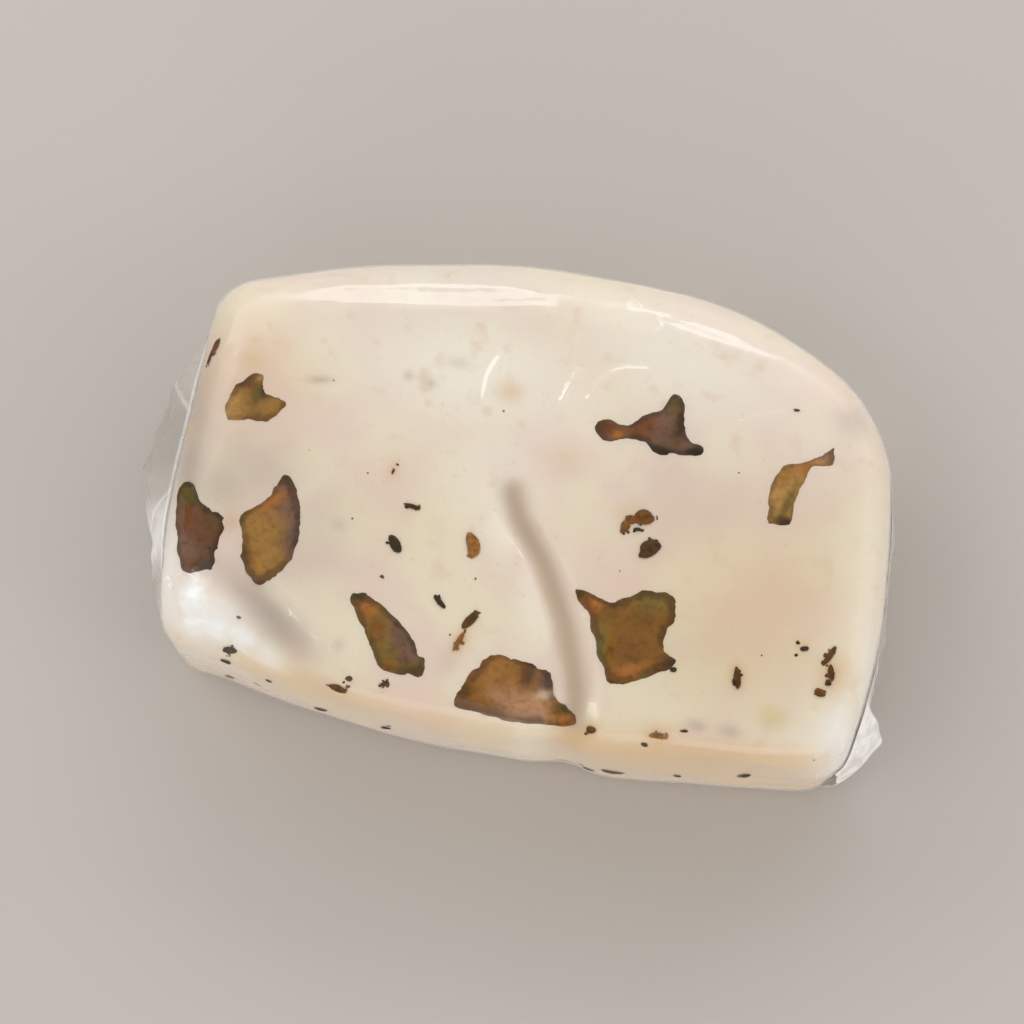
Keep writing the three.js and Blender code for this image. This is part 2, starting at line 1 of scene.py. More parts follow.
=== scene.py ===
"""A block of white walnut nougat in tight clear film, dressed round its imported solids."""

import math

import bpy
import numpy as np
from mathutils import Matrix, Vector
from mathutils.bvhtree import BVHTree


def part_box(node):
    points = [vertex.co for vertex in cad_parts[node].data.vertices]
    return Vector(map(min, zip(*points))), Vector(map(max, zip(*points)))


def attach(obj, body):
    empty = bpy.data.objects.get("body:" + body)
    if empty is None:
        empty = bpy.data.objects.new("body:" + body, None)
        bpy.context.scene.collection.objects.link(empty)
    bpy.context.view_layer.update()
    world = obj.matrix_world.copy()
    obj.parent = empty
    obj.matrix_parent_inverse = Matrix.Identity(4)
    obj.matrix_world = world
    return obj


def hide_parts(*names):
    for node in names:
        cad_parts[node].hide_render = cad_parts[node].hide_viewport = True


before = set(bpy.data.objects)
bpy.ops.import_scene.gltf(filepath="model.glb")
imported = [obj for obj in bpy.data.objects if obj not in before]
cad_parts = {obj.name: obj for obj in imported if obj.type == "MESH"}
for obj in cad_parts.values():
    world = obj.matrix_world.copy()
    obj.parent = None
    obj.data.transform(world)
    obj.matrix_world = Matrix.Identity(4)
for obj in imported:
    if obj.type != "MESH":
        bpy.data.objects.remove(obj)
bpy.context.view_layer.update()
MM = 0.001

# ---- The table, the light and the camera ---------------------------------------------------------------
# The block lies on a plain pale table top in a softly lit room. A wide, low window behind it and smaller
# ones on the left draw the gleams on the film, and broad lamps on all sides light the block without
# showing in its gloss.


def painted(name, roughness):
    """A new material with its shader, its nodes and its links."""
    material = bpy.data.materials.new(name)
    material.use_nodes = True
    nodes, links = material.node_tree.nodes, material.node_tree.links
    shader = nodes["Principled BSDF"]
    shader.inputs["Roughness"].default_value = roughness
    return material, shader, nodes, links


def noise_at(nodes, links, place, scale, detail, roughness=0.5):
    """A noise of that scale, in repeats a metre, and its value from 0 to 1."""
    noise = nodes.new("ShaderNodeTexNoise")
    noise.inputs["Scale"].default_value = scale
    noise.inputs["Detail"].default_value = detail
    noise.inputs["Roughness"].default_value = roughness
    links.new(place, noise.inputs["Vector"])
    return noise.outputs["Fac"]


def spread(nodes, links, value, low, high):
    """The value stretched so that low becomes 0 and high becomes 1, with soft ends."""
    stretch = nodes.new("ShaderNodeMapRange")
    stretch.interpolation_type = "SMOOTHSTEP"
    stretch.inputs["From Min"].default_value = low
    stretch.inputs["From Max"].default_value = high
    links.new(value, stretch.inputs["Value"])
    return stretch.outputs["Result"]


def tinted(nodes, links, share, under, over):
    """Two colours mixed by a share. Each is a colour's three numbers or another node's output."""
    mix = nodes.new("ShaderNodeMix")
    mix.data_type = "RGBA"
    links.new(share, mix.inputs["Factor"])
    for socket, colour in ((mix.inputs[6], under), (mix.inputs[7], over)):
        if isinstance(colour, tuple):
            socket.default_value = (*colour, 1)
        else:
            links.new(colour, socket)
    return mix.outputs[2]


def darkened(nodes, links, share, colour, keep):
    """A colour dimmed by a share: where the share is 1, only the kept part of it is left."""
    mix = nodes.new("ShaderNodeMix")
    mix.data_type = "RGBA"
    mix.blend_type = "MULTIPLY"
    links.new(share, mix.inputs["Factor"])
    links.new(colour, mix.inputs[6])
    mix.inputs[7].default_value = (keep, keep, keep, 1)
    return mix.outputs[2]


def roughened(nodes, links, height, distance, strength, below=None):
    """A bump of that height in metres, over another bump where one is given."""
    bump = nodes.new("ShaderNodeBump")
    bump.inputs["Distance"].default_value = distance
    bump.inputs["Strength"].default_value = strength
    links.new(height, bump.inputs["Height"])
    if below is not None:
        links.new(below, bump.inputs["Normal"])
    return bump.outputs["Normal"]


bpy.ops.object.select_all(action="DESELECT")
bpy.ops.mesh.primitive_plane_add(size=6, location=(0, 0, 0))
table = bpy.context.object
table.name = "table_top"
material, shader, nodes, links = painted("pale_table", 0.6)
place = nodes.new("ShaderNodeTexCoord").outputs["Object"]
cloud = noise_at(nodes, links, place, 7, 3)
links.new(tinted(nodes, links, cloud, (0.52, 0.485, 0.45), (0.56, 0.525, 0.49)), shader.inputs["Base Color"])
table.data.materials.append(material)


def window(name, azimuth, elevation, distance, width, height, power, colour, job):
    """A soft rectangle of light facing the block. Its job is to light it, to gleam in its gloss, or both."""
    turn, rise = math.radians(azimuth), math.radians(elevation)
    away = Vector((math.sin(turn) * math.cos(rise), math.cos(turn) * math.cos(rise), math.sin(rise)))
    light = bpy.data.lights.new(name, "AREA")
    light.shape = "RECTANGLE"
    light.size, light.size_y = width, height
    light.energy = power
    light.color = colour
    lamp = bpy.data.objects.new(name, light)
    lamp.location = away * distance
    lamp.rotation_euler = away.to_track_quat("Z", "Y").to_euler()
    lamp.visible_diffuse = job != "gleam"
    lamp.visible_glossy = job != "light"
    bpy.context.scene.collection.objects.link(lamp)


window("rear_window", 2, 34, 1.2, 1.3, 0.3, 4.8, (1.0, 0.99, 0.98), "gleam")
window("rear_left_window", -55, 46, 1.2, 0.3, 0.5, 2.3, (0.96, 0.99, 1.0), "gleam")
window("rear_light", 2, 34, 1.2, 1.3, 0.3, 4.75, (1.0, 0.99, 0.98), "light")
window("rear_left_light", -62, 36, 1.2, 0.8, 0.2, 1.9, (0.97, 0.99, 1.0), "light")
window("left_window", -117, 38, 1.2, 0.5, 0.42, 3.0, (0.92, 0.97, 1.0), "gleam")
window("left_light", -120, 54, 1.2, 0.5, 0.42, 1.0, (0.94, 0.98, 1.0), "light")
window("right_light", 100, 28, 1.2, 0.6, 0.5, 1.8, (1.0, 0.98, 0.95), "light")
window("front_wall", 176, 19, 1.8, 1.8, 0.9, 6.0, (1.0, 0.97, 0.93), "both")

# The walls of the room are pale and its ceiling is in shade, so that the nuts stay deep in colour under
# the film.
world = bpy.data.worlds.new("room")
world.use_nodes = True
nodes, links = world.node_tree.nodes, world.node_tree.links
direction = nodes.new("ShaderNodeSeparateXYZ")
links.new(nodes.new("ShaderNodeTexCoord").outputs["Generated"], direction.inputs[0])
overhead = spread(nodes, links, direction.outputs["Z"], 0.72, 0.94)
walls, ceiling = (0.88, 0.86, 0.84), (0.13, 0.13, 0.13)
links.new(tinted(nodes, links, overhead, walls, ceiling), nodes["Background"].inputs["Color"])
bpy.context.scene.world = world
bpy.context.scene.view_settings.view_transform = "Standard"

# The camera looks steeply down on the block from a little in front of it.
camera = bpy.data.objects.new("camera", bpy.data.cameras.new("camera"))
camera.data.sensor_width = 36
camera.data.lens = 98.4
camera.data.clip_start = 0.02
camera.location = (0.02834, -0.08296, 0.35474)
camera.rotation_euler = [math.radians(turn) for turn in (14.245, 1.819, 12.878)]
bpy.context.scene.collection.objects.link(camera)
bpy.context.scene.camera = camera

# ---- The nougat ----------------------------------------------------------------------------------------
# The slab: honey, sugar and egg white, cooked stiff, pressed flat and cut into blocks. Under the tight
# film it has softened, so its edges are round, its rear side bows out and a finger has left a crease
# across the top.


def picked(*pieces):
    """Selects these pieces alone, and makes the last one active."""
    bpy.ops.object.select_all(action="DESELECT")
    for piece in pieces:
        piece.select_set(True)
    bpy.context.view_layer.objects.active = pieces[-1]


def copied(node_name, piece_name):
    """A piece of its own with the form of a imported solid, its doubled corners merged."""
    piece = bpy.data.objects.new(piece_name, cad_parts[node_name].data.copy())
    piece.data.materials.clear()
    bpy.context.scene.collection.objects.link(piece)
    picked(piece)
    bpy.ops.object.mode_set(mode="EDIT")
    bpy.ops.mesh.select_all(action="SELECT")
    bpy.ops.mesh.remove_doubles(threshold=0.001 * MM)
    bpy.ops.object.mode_set(mode="OBJECT")
    return piece


def finished(piece, kind, **settings):
    """The piece after one modifier, set and applied."""
    picked(piece)
    modifier = piece.modifiers.new(kind.lower(), kind)
    for setting, value in settings.items():
        setattr(modifier, setting, value)
    bpy.ops.object.modifier_apply(modifier=modifier.name)
    return piece


def points_of(piece, kind="co"):
    """The piece's points, or with "normal" the directions they face, one row each."""
    numbers = np.empty(len(piece.data.vertices) * 3)
    piece.data.vertices.foreach_get(kind, numbers)
    return numbers.reshape(-1, 3)


def put_points(piece, places):
    piece.data.vertices.foreach_set("co", places.astype(np.float32).ravel())
    piece.data.update()


def smooth_shaded(piece):
    picked(piece)
    bpy.ops.object.shade_smooth()


def noted(piece, name, values):
    """Keeps the values on the piece's points, for its material to read."""
    attribute = piece.data.attributes.new(name, "FLOAT", "POINT")
    attribute.data.foreach_set("value", np.asarray(values, dtype=np.float32))


def noted_value(nodes, name):
    attribute = nodes.new("ShaderNodeAttribute")
    attribute.attribute_name = name
    return attribute.outputs["Fac"]


OUT_OF_FACE = {
    "top": np.array((0.0, 0.0, 1.0)),
    "under": np.array((0.0, 0.0, -1.0)),
    "left": np.array((-1.0, 0.0, 0.0)),
    "right": np.array((1.0, 0.0, 0.0)),
    "rear": np.array((0.0, 1.0, 0.0)),
    "front": np.array((0.0, -1.0, 0.0)),
}
nut_nodes = sorted(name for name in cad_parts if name.startswith("walnut_"))

# The mass runs on below the nuts, so each nut's pocket in the slab is filled: the filler is swollen to
# close the gap round the nut and sunk a little below the face.
SWOLLEN, SUNK, SUNK_BELOW = 0.4, 0.2, 0.1
slab = copied("nougat_block", "slab")
fillers = []
for node_name in nut_nodes:
    face = node_name.split("_")[1]
    filler = copied(node_name, "filler")
    finished(filler, "DISPLACE", strength=SWOLLEN * MM, mid_level=0)
    sunk = SUNK_BELOW if face == "under" else SUNK
    put_points(filler, points_of(filler) - OUT_OF_FACE[face] * sunk * MM)
    fillers.append(filler)
picked(*fillers, slab)
bpy.ops.object.join()
SLAB_MESH = 0.48
finished(slab, "REMESH", mode="VOXEL", voxel_size=SLAB_MESH * MM)
finished(slab, "SMOOTH", factor=0.5, iterations=8)


def off_line(places, line, seen=(0, 1)):
    """How far each point is from a line given in millimetres, seen from above or square to another face."""
    spots = places[:, seen] / MM
    nearest = np.full(len(spots), np.inf)
    for start, end in zip(line[:-1], line[1:]):
        start, run = np.array(start), np.array(end) - np.array(start)
        share = np.clip(((spots - start) @ run) / (run @ run), 0, 1)
        nearest = np.minimum(nearest, np.hypot(*(spots - start - share[:, None] * run).T))
    return nearest


CREASE = [(-1.0, -1.0), (0.5, -4.0), (4.5, -8.8), (8.5, -15.5), (11.9, -23.5), (12.5, -27.0)]
# What lies above this height belongs to the top.
TOP_FROM = 18


def calmed(piece, iterations, reach):
    """Irons the flat of every face and what lies along the crease, and leaves the round edges alone."""
    facing = np.abs(points_of(piece, "normal")).max(1)
    share = np.clip((facing - 0.93) / 0.05, 0, 1)
    near = np.clip(1.5 - off_line(points_of(piece), CREASE) / reach, 0, 1)
    share = np.maximum(share, near * (points_of(piece)[:, 2] > TOP_FROM * MM))
    flats = piece.vertex_groups.new(name="flats")
    for level in range(1, 11):
        members = np.nonzero(np.round(share * 10) == level)[0]
        flats.add(members.tolist(), level / 10, "REPLACE")
    finished(piece, "SMOOTH", factor=0.5, iterations=iterations, vertex_group="flats")
    piece.vertex_groups.clear()


def soft_spot(places, x, y, reach_x, reach_y, turn=0):
    """How much of a soft oval spot on the top, given in millimetres, falls on each point."""
    angle = math.radians(turn)
    across, up = places[:, 0] / MM - x, places[:, 1] / MM - y
    along = (across * math.cos(angle) + up * math.sin(angle)) / reach_x
    beside = (up * math.cos(angle) - across * math.sin(angle)) / reach_y
    return np.exp(-(along**2 + beside**2)) * np.clip(places[:, 2] / MM / 8 - 1, 0, 1)


# The corner at the front left is pressed in along a short valley, swells beyond it, and is drawn out at
# its tip.
VALLEY, VALLEY_WIDTH, VALLEY_DEPTH = [(-32.5, -19.0), (-27.5, -21.6), (-21.5, -25.0)], 2.2, 0.3
SWELLS = [(-34.6, -22.6, 3.8, 3.4, -20, 0.9), (-28.5, -26.6, 6.0, 2.2, -22, 0.48)]
CORNER, CORNER_REACH, DRAWN_OUT = (-39.6, -26.6), (4.5, 4.0), (-0.7, -1.6, 0.0)
places, facing = points_of(slab), points_of(slab, "normal")
valley = np.exp(-((off_line(places, VALLEY) / VALLEY_WIDTH) ** 2)) * (places[:, 2] > TOP_FROM * MM)
swell = sum(height * soft_spot(places, *spot) for *spot, height in SWELLS)
rise = (swell - VALLEY_DEPTH * valley) * np.clip(facing[:, 2] * 1.6, 0, 1)
places += facing * rise[:, None] * MM
pull = np.exp(-(((places[:, :2] / MM - CORNER) / CORNER_REACH) ** 2).sum(1))
put_points(slab, places + pull[:, None] * np.array(DRAWN_OUT) * MM)

nougat = slab.copy()
nougat.data = slab.data.copy()
nougat.name = "nougat"
bpy.context.scene.collection.objects.link(nougat)
calmed(nougat, 24, 2.5)
# It lies this far inside its film.
UNDER_FILM = 0.16
put_points(nougat, points_of(nougat) - points_of(nougat, "normal") * UNDER_FILM * MM)
swirls = bpy.data.textures.new("nougat_swirls", "CLOUDS")
swirls.noise_scale = 4 * MM
swirls.noise_depth = 3
finished(nougat, "DISPLACE", texture=swirls, texture_coords="LOCAL", strength=0.1 * MM, mid_level=0.6)
smooth_shaded(nougat)

# Tones in the mass: each is x, y, reach along and across, turn and strength. Whiter where it is thick with
# egg white, and painted light: the lit rear of the top, the pale lip beside the crease, the front wall's lit
# places, glare at the front-left corner and sheen along the right end. Browner where walnut oil and honey
# have soaked in, and painted shade along the front edge. Greyer where a nut lies just under the surface,
# and painted shade in the crease, on the sloping left end and in the front-left valley, with a cool painted
# reflection along the rear edge.
WHITER_AND_LIT = [
    (-10, 13, 17, 8, 0, 1.0), (16, 20, 17, 7, -12, 0.9), (-4, 1, 6, 9, 20, 0.6),
    (-34, -25, 8, 4, -20, 0.8), (43, -25, 6, 8, 0, 1.0), (-13, 20.6, 12, 1.2, 8, 0.6),
    (44, -6, 5, 14, 0, 0.6), (-27, 14, 9, 6, 8, 0.55), (7.4, -30.4, 2.2, 2.6, 0, 0.9),
    (32, 15, 9, 6, -30, 0.5), (2, -28, 4, 3, 0, 0.5), (-14, 25, 24, 4, 3, 0.6), (16, 26, 14, 4, -12, 0.5),
    (-1.5, -6, 2.4, 5, 25, 0.7), (4.5, -14, 2.2, 6, 25, 0.7),
]
# Browner: soaked oil and honey, and painted shade along the front edge.
BROWNER_AND_SHADED = [
    (-36, 8, 8, 7, 0, 0.35), (41.5, -14.8, 2.2, 3.0, 0, 0.8), (30.2, -17.2, 1.2, 2.0, 20, 0.7),
    (22.6, -26.6, 2.6, 1.5, 10, 0.9), (14.4, -27.4, 1.9, 1.4, 30, 0.6), (-4.2, 11.3, 1.8, 1.4, 0, 0.5),
    (-43.2, -1.0, 1.6, 1.3, 0, 0.7), (-3.1, -20.4, 1.0, 1.8, -15, 0.7), (-16.0, -1.4, 0.8, 1.2, 0, 0.5),
    (37, -12, 1.4, 1.1, 0, 0.5), (-8.2, -31.2, 1.8, 1.0, 0, 0.5), (13.4, -0.6, 2.0, 1.2, 30, 0.4),
    (30, -8, 14, 10, 0, 0.3), (-36.6, 11.2, 1.2, 1.0, 0, 0.5), (26, -30, 24, 3.5, 4, 0.5),
    (-24, -29, 12, 2.5, -12, 0.5), (5, 4, 3, 2, 0, 0.2), (-43.5, 8, 3.0, 7, 0, 0.2),
    (-34.0, -12.0, 1.2, 1.6, 0, 0.35), (-27.2, -24.7, 0.5, 0.4, 0, 0.5),
]
# Greyer: nuts under the surface, and painted shade in the crease, at the left end and in the front-left
# valley.
GREYER_AND_SHADED = [
    (30.8, -24.1, 1.4, 0.8, 0, 0.56), (-27.6, 7.9, 1.6, 0.5, 12, 0.7), (-41.2, -5.4, 3.2, 7.5, 10, 1.0),
    (-20, -15, 5, 6, 0, 0.12), (-17.0, 10.8, 0.7, 0.6, 0, 0.48), (-14.1, 10.3, 1.0, 0.8, 0, 0.32),
    (-11.3, 13.6, 1.5, 0.7, 0, 0.32), (-21.0, -9.6, 1.5, 1.2, -20, 0.48), (-17.5, -24.1, 0.9, 1.0, 0, 0.4),
    (26.8, -24.4, 1.2, 0.7, 0, 0.56), (-4.0, -23.5, 1.4, 1.8, 0, 0.24), (-34, -5, 8, 5, 0, 0.5),
    (-26.6, -22.2, 8.5, 2.6, -32, 0.95), (-30.5, -21.6, 3.5, 2.2, -30, 0.32), (-36, -24, 5, 4, 0, 0.1),
    (20, 2, 8, 6, 0, 0.16), (-43.0, 2.0, 4.2, 13, 13, 1.0), (-36.5, -7.5, 5.5, 4.5, 0, 0.62),
    (-34.0, -12.0, 1.2, 1.6, 0, 0.44), (-34.2, -28.2, 0.5, 0.5, 0, 0.32), (-23.5, -12, 4.5, 8, 0, 0.34),
    (24, -15, 5, 6, 0, 0.08), (37.6, 16.8, 2.4, 2.2, 0, 0.48), (-31, -15, 5, 6, 0, 0.2),
    (-14, 25.4, 24, 2.6, 6, 0.18),
]
YELLOWER = [
    (35.4, -21.3, 2.2, 1.7, 0, 0.75), (13.9, -27.9, 1.8, 1.3, 0, 0.6), (30, -16, 14, 9, 0, 0.3),
    (34, -6, 9, 8, 0, 0.22), (26, -29, 26, 4, 4, 0.3), (-22, -29, 14, 3, -12, 0.3),
    (-36.4, 8.6, 1.4, 1.2, 0, 0.5), (36, 2, 7, 9, 0, 0.14), (-14, -8, 8, 6, 0, 0.12),
]
# Painted glare: the film's white glare at the front-left corner and its sheen along the left and right ends,
# painted as a near-white tone of the mass.
PAINTED_GLARE = [
    (-36.3, -21.9, 1.7, 2.5, 10, 0.95), (-34.2, -24.4, 5.0, 3.2, -12, 0.6),
    (-35.2, -25.2, 2.4, 2.0, 0, 0.75), (-32.6, -25.0, 2.6, 1.7, -5, 0.9),
    (-29.3, -25.4, 2.8, 1.4, -22, 0.8), (-25.9, -26.8, 2.6, 1.4, -22, 0.55),
    (-40.8, -19.0, 2.0, 7.5, 10, 0.5), (44.4, -23.0, 2.6, 6.0, 8, 0.5), (45.8, -15.0, 1.4, 8.0, 8, 0.4),
]


def spotted(places, spots):
    """How strongly the strongest of the soft spots falls on each point."""
    tone = np.zeros(len(places))
    for x, y, reach_x, reach_y, turn, strength in spots:
        tone = np.maximum(tone, strength * soft_spot(places, x, y, reach_x, reach_y, turn))
    return tone


# The crease's painted shade lies on the top and runs a little way down the front wall.
ground = points_of(nougat)
shaded = ground[:, 2] > 12 * MM
TONES = {
    "whiter_and_lit": WHITER_AND_LIT, "browner_and_shaded": BROWNER_AND_SHADED, "greyer_and_shaded": GREYER_AND_SHADED, "yellower": YELLOWER, "painted_glare": PAINTED_GLARE,
}
for name, spots in TONES.items():
    tone = spotted(ground, spots)
    if name == "greyer_and_shaded":
        tone = np.maximum(tone, 0.92 * np.exp(-((off_line(ground, CREASE) / 1.5) ** 2)) * shaded)
    # Painted shade: the front wall is browner, most at its right, but for two places of painted light.
    if name == "browner_and_shaded":
        front = np.clip(-points_of(nougat, "normal")[:, 1] * 2 - 0.6, 0, 1)
        painted_light_spots = soft_spot(ground, 7.4, -30.4, 2.6, 4.5) + 0.3 * soft_spot(ground, 42, -30, 5, 6)
        front *= 0.38 + 0.22 * np.clip(ground[:, 0] / MM / 6 - 1, 0, 1)
        tone = np.maximum(tone, front * (1 - 0.9 * painted_light_spots))
        # Painted shade along the crease.
        tone += 0.24 * np.exp(-((off_line(ground, CREASE) / 1.4) ** 2)) * shaded
    noted(nougat, name, tone)

material, shader, nodes, links = painted("nougat_mass", 0.42)
place = nodes.new("ShaderNodeTexCoord").outputs["Object"]
patches = spread(nodes, links, noise_at(nodes, links, place, 80, 2), 0.38, 0.62)
base = tinted(nodes, links, patches, (0.80, 0.65, 0.55), (0.83, 0.735, 0.57))
# The whiter tone is partly painted light.
base = tinted(nodes, links, noted_value(nodes, "whiter_and_lit"), base, (0.90, 0.84, 0.73))
veins = spread(nodes, links, noise_at(nodes, links, place, 300, 4), 0.54, 0.76)
base = tinted(nodes, links, veins, base, (0.79, 0.66, 0.52))
pores = spread(nodes, links, noise_at(nodes, links, place, 1700, 2), 0.62, 0.8)
base = darkened(nodes, links, pores, base, 0.88)
base = tinted(nodes, links, noted_value(nodes, "yellower"), base, (0.66, 0.57, 0.28))
# The greyer tone is partly painted shade.
base = tinted(nodes, links, noted_value(nodes, "greyer_and_shaded"), base, (0.47, 0.385, 0.315))
# The browner tone is partly painted shade.
base = tinted(nodes, links, noted_value(nodes, "browner_and_shaded"), base, (0.70, 0.46, 0.23))
# The painted glare is a near-white tone.
base = tinted(nodes, links, noted_value(nodes, "painted_glare"), base, (0.93, 0.95, 0.95))
links.new(base, shader.inputs["Base Color"])
grit = noise_at(nodes, links, place, 1500, 4)
links.new(roughened(nodes, links, grit, 0.05 * MM, 0.4), shader.inputs["Normal"])
shader.inputs["Subsurface Weight"].default_value = 0.3
shader.inputs["Subsurface Radius"].default_value = (1.0, 0.75, 0.5)
shader.inputs["Subsurface Scale"].default_value = 2.0 * MM
shader.inputs["Specular IOR Level"].default_value = 0.3
nougat.data.materials.append(material)
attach(nougat, "root")

# ---- The walnut pieces ---------------------------------------------------------------------------------
# Broken walnut halves, stirred into the hot mass and cut or pressed flush with its faces. A dark papery skin
# runs round each, and the flesh inside is oily gold to red brown, with fine folds.
#
# The colours of flesh and skin, and for each piece its own colour and then its blushes: x, y, reach along
# and across, turn and colour.
GOLD, AMBER, TAN = (0.37, 0.185, 0.036), (0.29, 0.14, 0.026), (0.49, 0.26, 0.072)
BROWN, RED, RUST = (0.24, 0.10, 0.012), (0.18, 0.062, 0.012), (0.40, 0.145, 0.025)
OLIVE, MOSS, UMBER = (0.23, 0.145, 0.024), (0.13, 0.085, 0.014), (0.13, 0.062, 0.020)
PLUM, ROSE, INK = (0.20, 0.105, 0.062), (0.46, 0.24, 0.12), (0.055, 0.032, 0.012)
DYES = {
    "walnut_top_1": ((0.16, 0.056, 0.018), [
        (-39.6, -9.0, 2.2, 2.2, 0, MOSS), (-42.2, -13.0, 0.9, 4.0, 0, MOSS),
        (-36.4, -11.8, 1.4, 2.4, 0, UMBER), (-36.0, -17.6, 1.8, 0.8, 0, INK),
        (-38.6, -16.5, 2.0, 1.4, 0, PLUM), (-39.6, -12.2, 1.4, 1.2, 0, RED),
    ]),
    "walnut_top_2": (GOLD, [
        (-27.4, -7.6, 2.0, 3.4, 20, PLUM), (-30.2, -8.6, 2.4, 0.9, 35, RUST),
        (-33.4, -11.4, 1.0, 1.6, 0, OLIVE), (-26.0, -12.0, 1.0, 3.2, 0, PLUM),
        (-31.2, -16.2, 1.2, 2.0, 20, BROWN), (-28.6, -19.0, 2.2, 0.9, 10, RED),
        (-28.6, -5.0, 1.0, 0.8, 0, MOSS),
    ]),
    "walnut_top_3": ((0.34, 0.17, 0.036), [
        (-36.0, 5.7, 1.8, 0.8, 20, RED), (-34.4, 4.6, 1.0, 1.6, 0, MOSS), (-33.2, 3.1, 1.6, 0.8, 0, GOLD),
        (-37.6, 1.8, 1.4, 1.8, 0, TAN), (-34.9, 7.0, 0.7, 0.9, 0, TAN),
    ]),
    "walnut_top_4": (OLIVE, [
        (-15.3, -18.6, 1.6, 1.8, 0, RUST), (-16.6, -17.6, 1.2, 0.7, 0, MOSS),
        (-13.2, -21.4, 1.2, 1.6, 30, BROWN), (-10.4, -21.2, 1.2, 1.8, 30, PLUM),
        (-8.6, -23.6, 1.6, 2.2, 0, PLUM), (-7.4, -25.2, 1.6, 1.0, 0, MOSS),
        (-11.4, -25.4, 1.8, 0.6, 0, BROWN),
    ]),
    # On this dome the pale blush at 8.3, -24.6 is a painted glint.
    "walnut_top_5": ((0.36, 0.155, 0.028), [
        (5.7, -22.4, 0.9, 2.8, 0, RED), (5.9, -22.2, 0.4, 2.0, 0, UMBER), (8.6, -23.0, 1.6, 1.8, 0, PLUM),
        (5.6, -26.4, 4.0, 1.6, 0, ROSE), (8.3, -24.6, 1.0, 0.5, 20, (0.56, 0.40, 0.28)),
        (10.7, -25.9, 1.2, 0.8, 0, MOSS), (11.6, -27.2, 1.2, 0.9, 0, RUST),
        (-1.0, -26.0, 1.6, 2.0, 0, BROWN), (1.4, -27.6, 3.0, 0.8, 0, BROWN),
    ]),
    "walnut_top_6": (BROWN, [
        (11.0, -12.4, 1.6, 1.4, 0, RUST), (9.6, -11.4, 0.5, 0.8, 0, MOSS),
        (13.4, -17.6, 0.9, 3.4, 0, OLIVE), (18.6, -11.0, 2.4, 1.6, 0, OLIVE),
        (18.2, -19.6, 2.6, 1.0, 20, RUST), (19.8, -20.0, 1.0, 0.8, 0, OLIVE),
        (22.4, -17.4, 0.9, 0.8, 0, INK), (20.2, -14.6, 2.4, 2.8, 0, BROWN),
    ]),
    "walnut_top_7": (PLUM, [
        (8.6, 9.4, 2.2, 1.0, -10, RED), (10.0, 8.8, 0.7, 0.5, 0, RUST), (12.4, 10.6, 1.8, 1.6, 0, RED),
        (15.8, 14.4, 1.4, 1.0, 0, MOSS), (17.0, 11.6, 0.8, 3.0, 0, UMBER), (15.0, 8.0, 2.0, 0.6, 0, INK),
        (19.6, 8.7, 1.2, 0.5, 0, INK), (6.8, 10.2, 0.8, 0.8, 0, UMBER),
    ]),
    "walnut_top_8": (TAN, [
        (30.8, 8.6, 1.2, 1.6, 0, GOLD), (33.6, 9.6, 1.0, 0.9, 0, RUST), (35.4, 11.8, 1.6, 1.0, 30, ROSE),
        (36.6, 13.6, 1.0, 0.7, 30, UMBER), (31.9, 4.6, 0.5, 3.0, -15, OLIVE),
        (32.2, 2.2, 0.9, 0.8, 0, UMBER),
    ]),
}

# Where a tip or a side is drawn out, in millimetres: x, y, reach, and how far along and across.
TIPS = {
    "walnut_top_1": [(-40.2, -9.2, 1.8, -0.4, 0.6), (-37.3, -17.8, 2.2, -0.2, -1.1)],
    "walnut_top_2": [(-28.7, -5.2, 1.2, -0.1, 0.4)],
    "walnut_top_5": [
        (-1.8, -27.9, 1.2, -0.8, 0.0), (7.8, -21.6, 1.6, 0.4, 0.5), (2.0, -21.6, 3.0, 0.0, 0.3),
        (11.9, -27.0, 1.0, 0.8, 0.1),
    ],
    "walnut_top_6": [(9.3, -11.3, 0.9, -0.5, 0.1)],
    "walnut_top_7": [
        (11.8, 9.0, 0.8, 0.0, 0.4), (8.6, 10.3, 0.9, -0.1, 0.35), (9.4, 8.0, 1.0, -0.1, -0.4),
        (15.6, 14.9, 1.2, 0.1, 0.4), (16.0, 7.2, 1.5, 0.0, -0.4), (19.9, 8.9, 0.8, 0.4, 0.1),
    ],
}


def scaled(nodes, links, value, by, plus=0.0):
    """The value times one thing plus another. Each is a number or another node's output."""
    sums = nodes.new("ShaderNodeMath")
    sums.operation = "MULTIPLY_ADD"
    for socket, part in zip(sums.inputs, (value, by, plus)):
        if isinstance(part, (int, float)):
            socket.default_value = part
        else:
            links.new(part, socket)
    return sums.outputs[0]


material, shader, nodes, links = painted("walnut_flesh", 0.5)
place = nodes.new("ShaderNodeTexCoord").outputs["Object"]
dye = nodes.new("ShaderNodeAttribute")
dye.attribute_name = "dye"
blotches = spread(nodes, links, noise_at(nodes, links, place, 420, 3), 0.42, 0.68)
colour = darkened(nodes, links, blotches, dye.outputs["Color"], 0.82)
threads = spread(nodes, links, noise_at(nodes, links, place, 1300, 5, 0.65), 0.42, 0.8)
colour = darkened(nodes, links, threads, colour, 0.6)
# The dark skin at the rim is broader in some places than in others.
ragged = scaled(nodes, links, noise_at(nodes, links, place, 900, 3), 0.8, noted_value(nodes, "rim"))
uneven = scaled(nodes, links, noise_at(nodes, links, place, 260, 2), 1.6, ragged)
edge = spread(nodes, links, uneven, 1.85, 1.1)
colour = darkened(nodes, links, edge, colour, 0.5)
links.new(colour, shader.inputs["Base Color"])
grain = noise_at(nodes, links, place, 800, 5, 0.6)
links.new(roughened(nodes, links, grain, 0.12 * MM, 0.5), shader.inputs["Normal"])
shader.inputs["Specular IOR Level"].default_value = 0.15
walnut_flesh = material

# The remeshing and how far the broken edge strays, for the kernels in the top and for the others.
KERNEL_MESH = {"top": 0.2, "other": 0.3}
BROKEN_BY = {"top": 0.4, "other": 1.3}
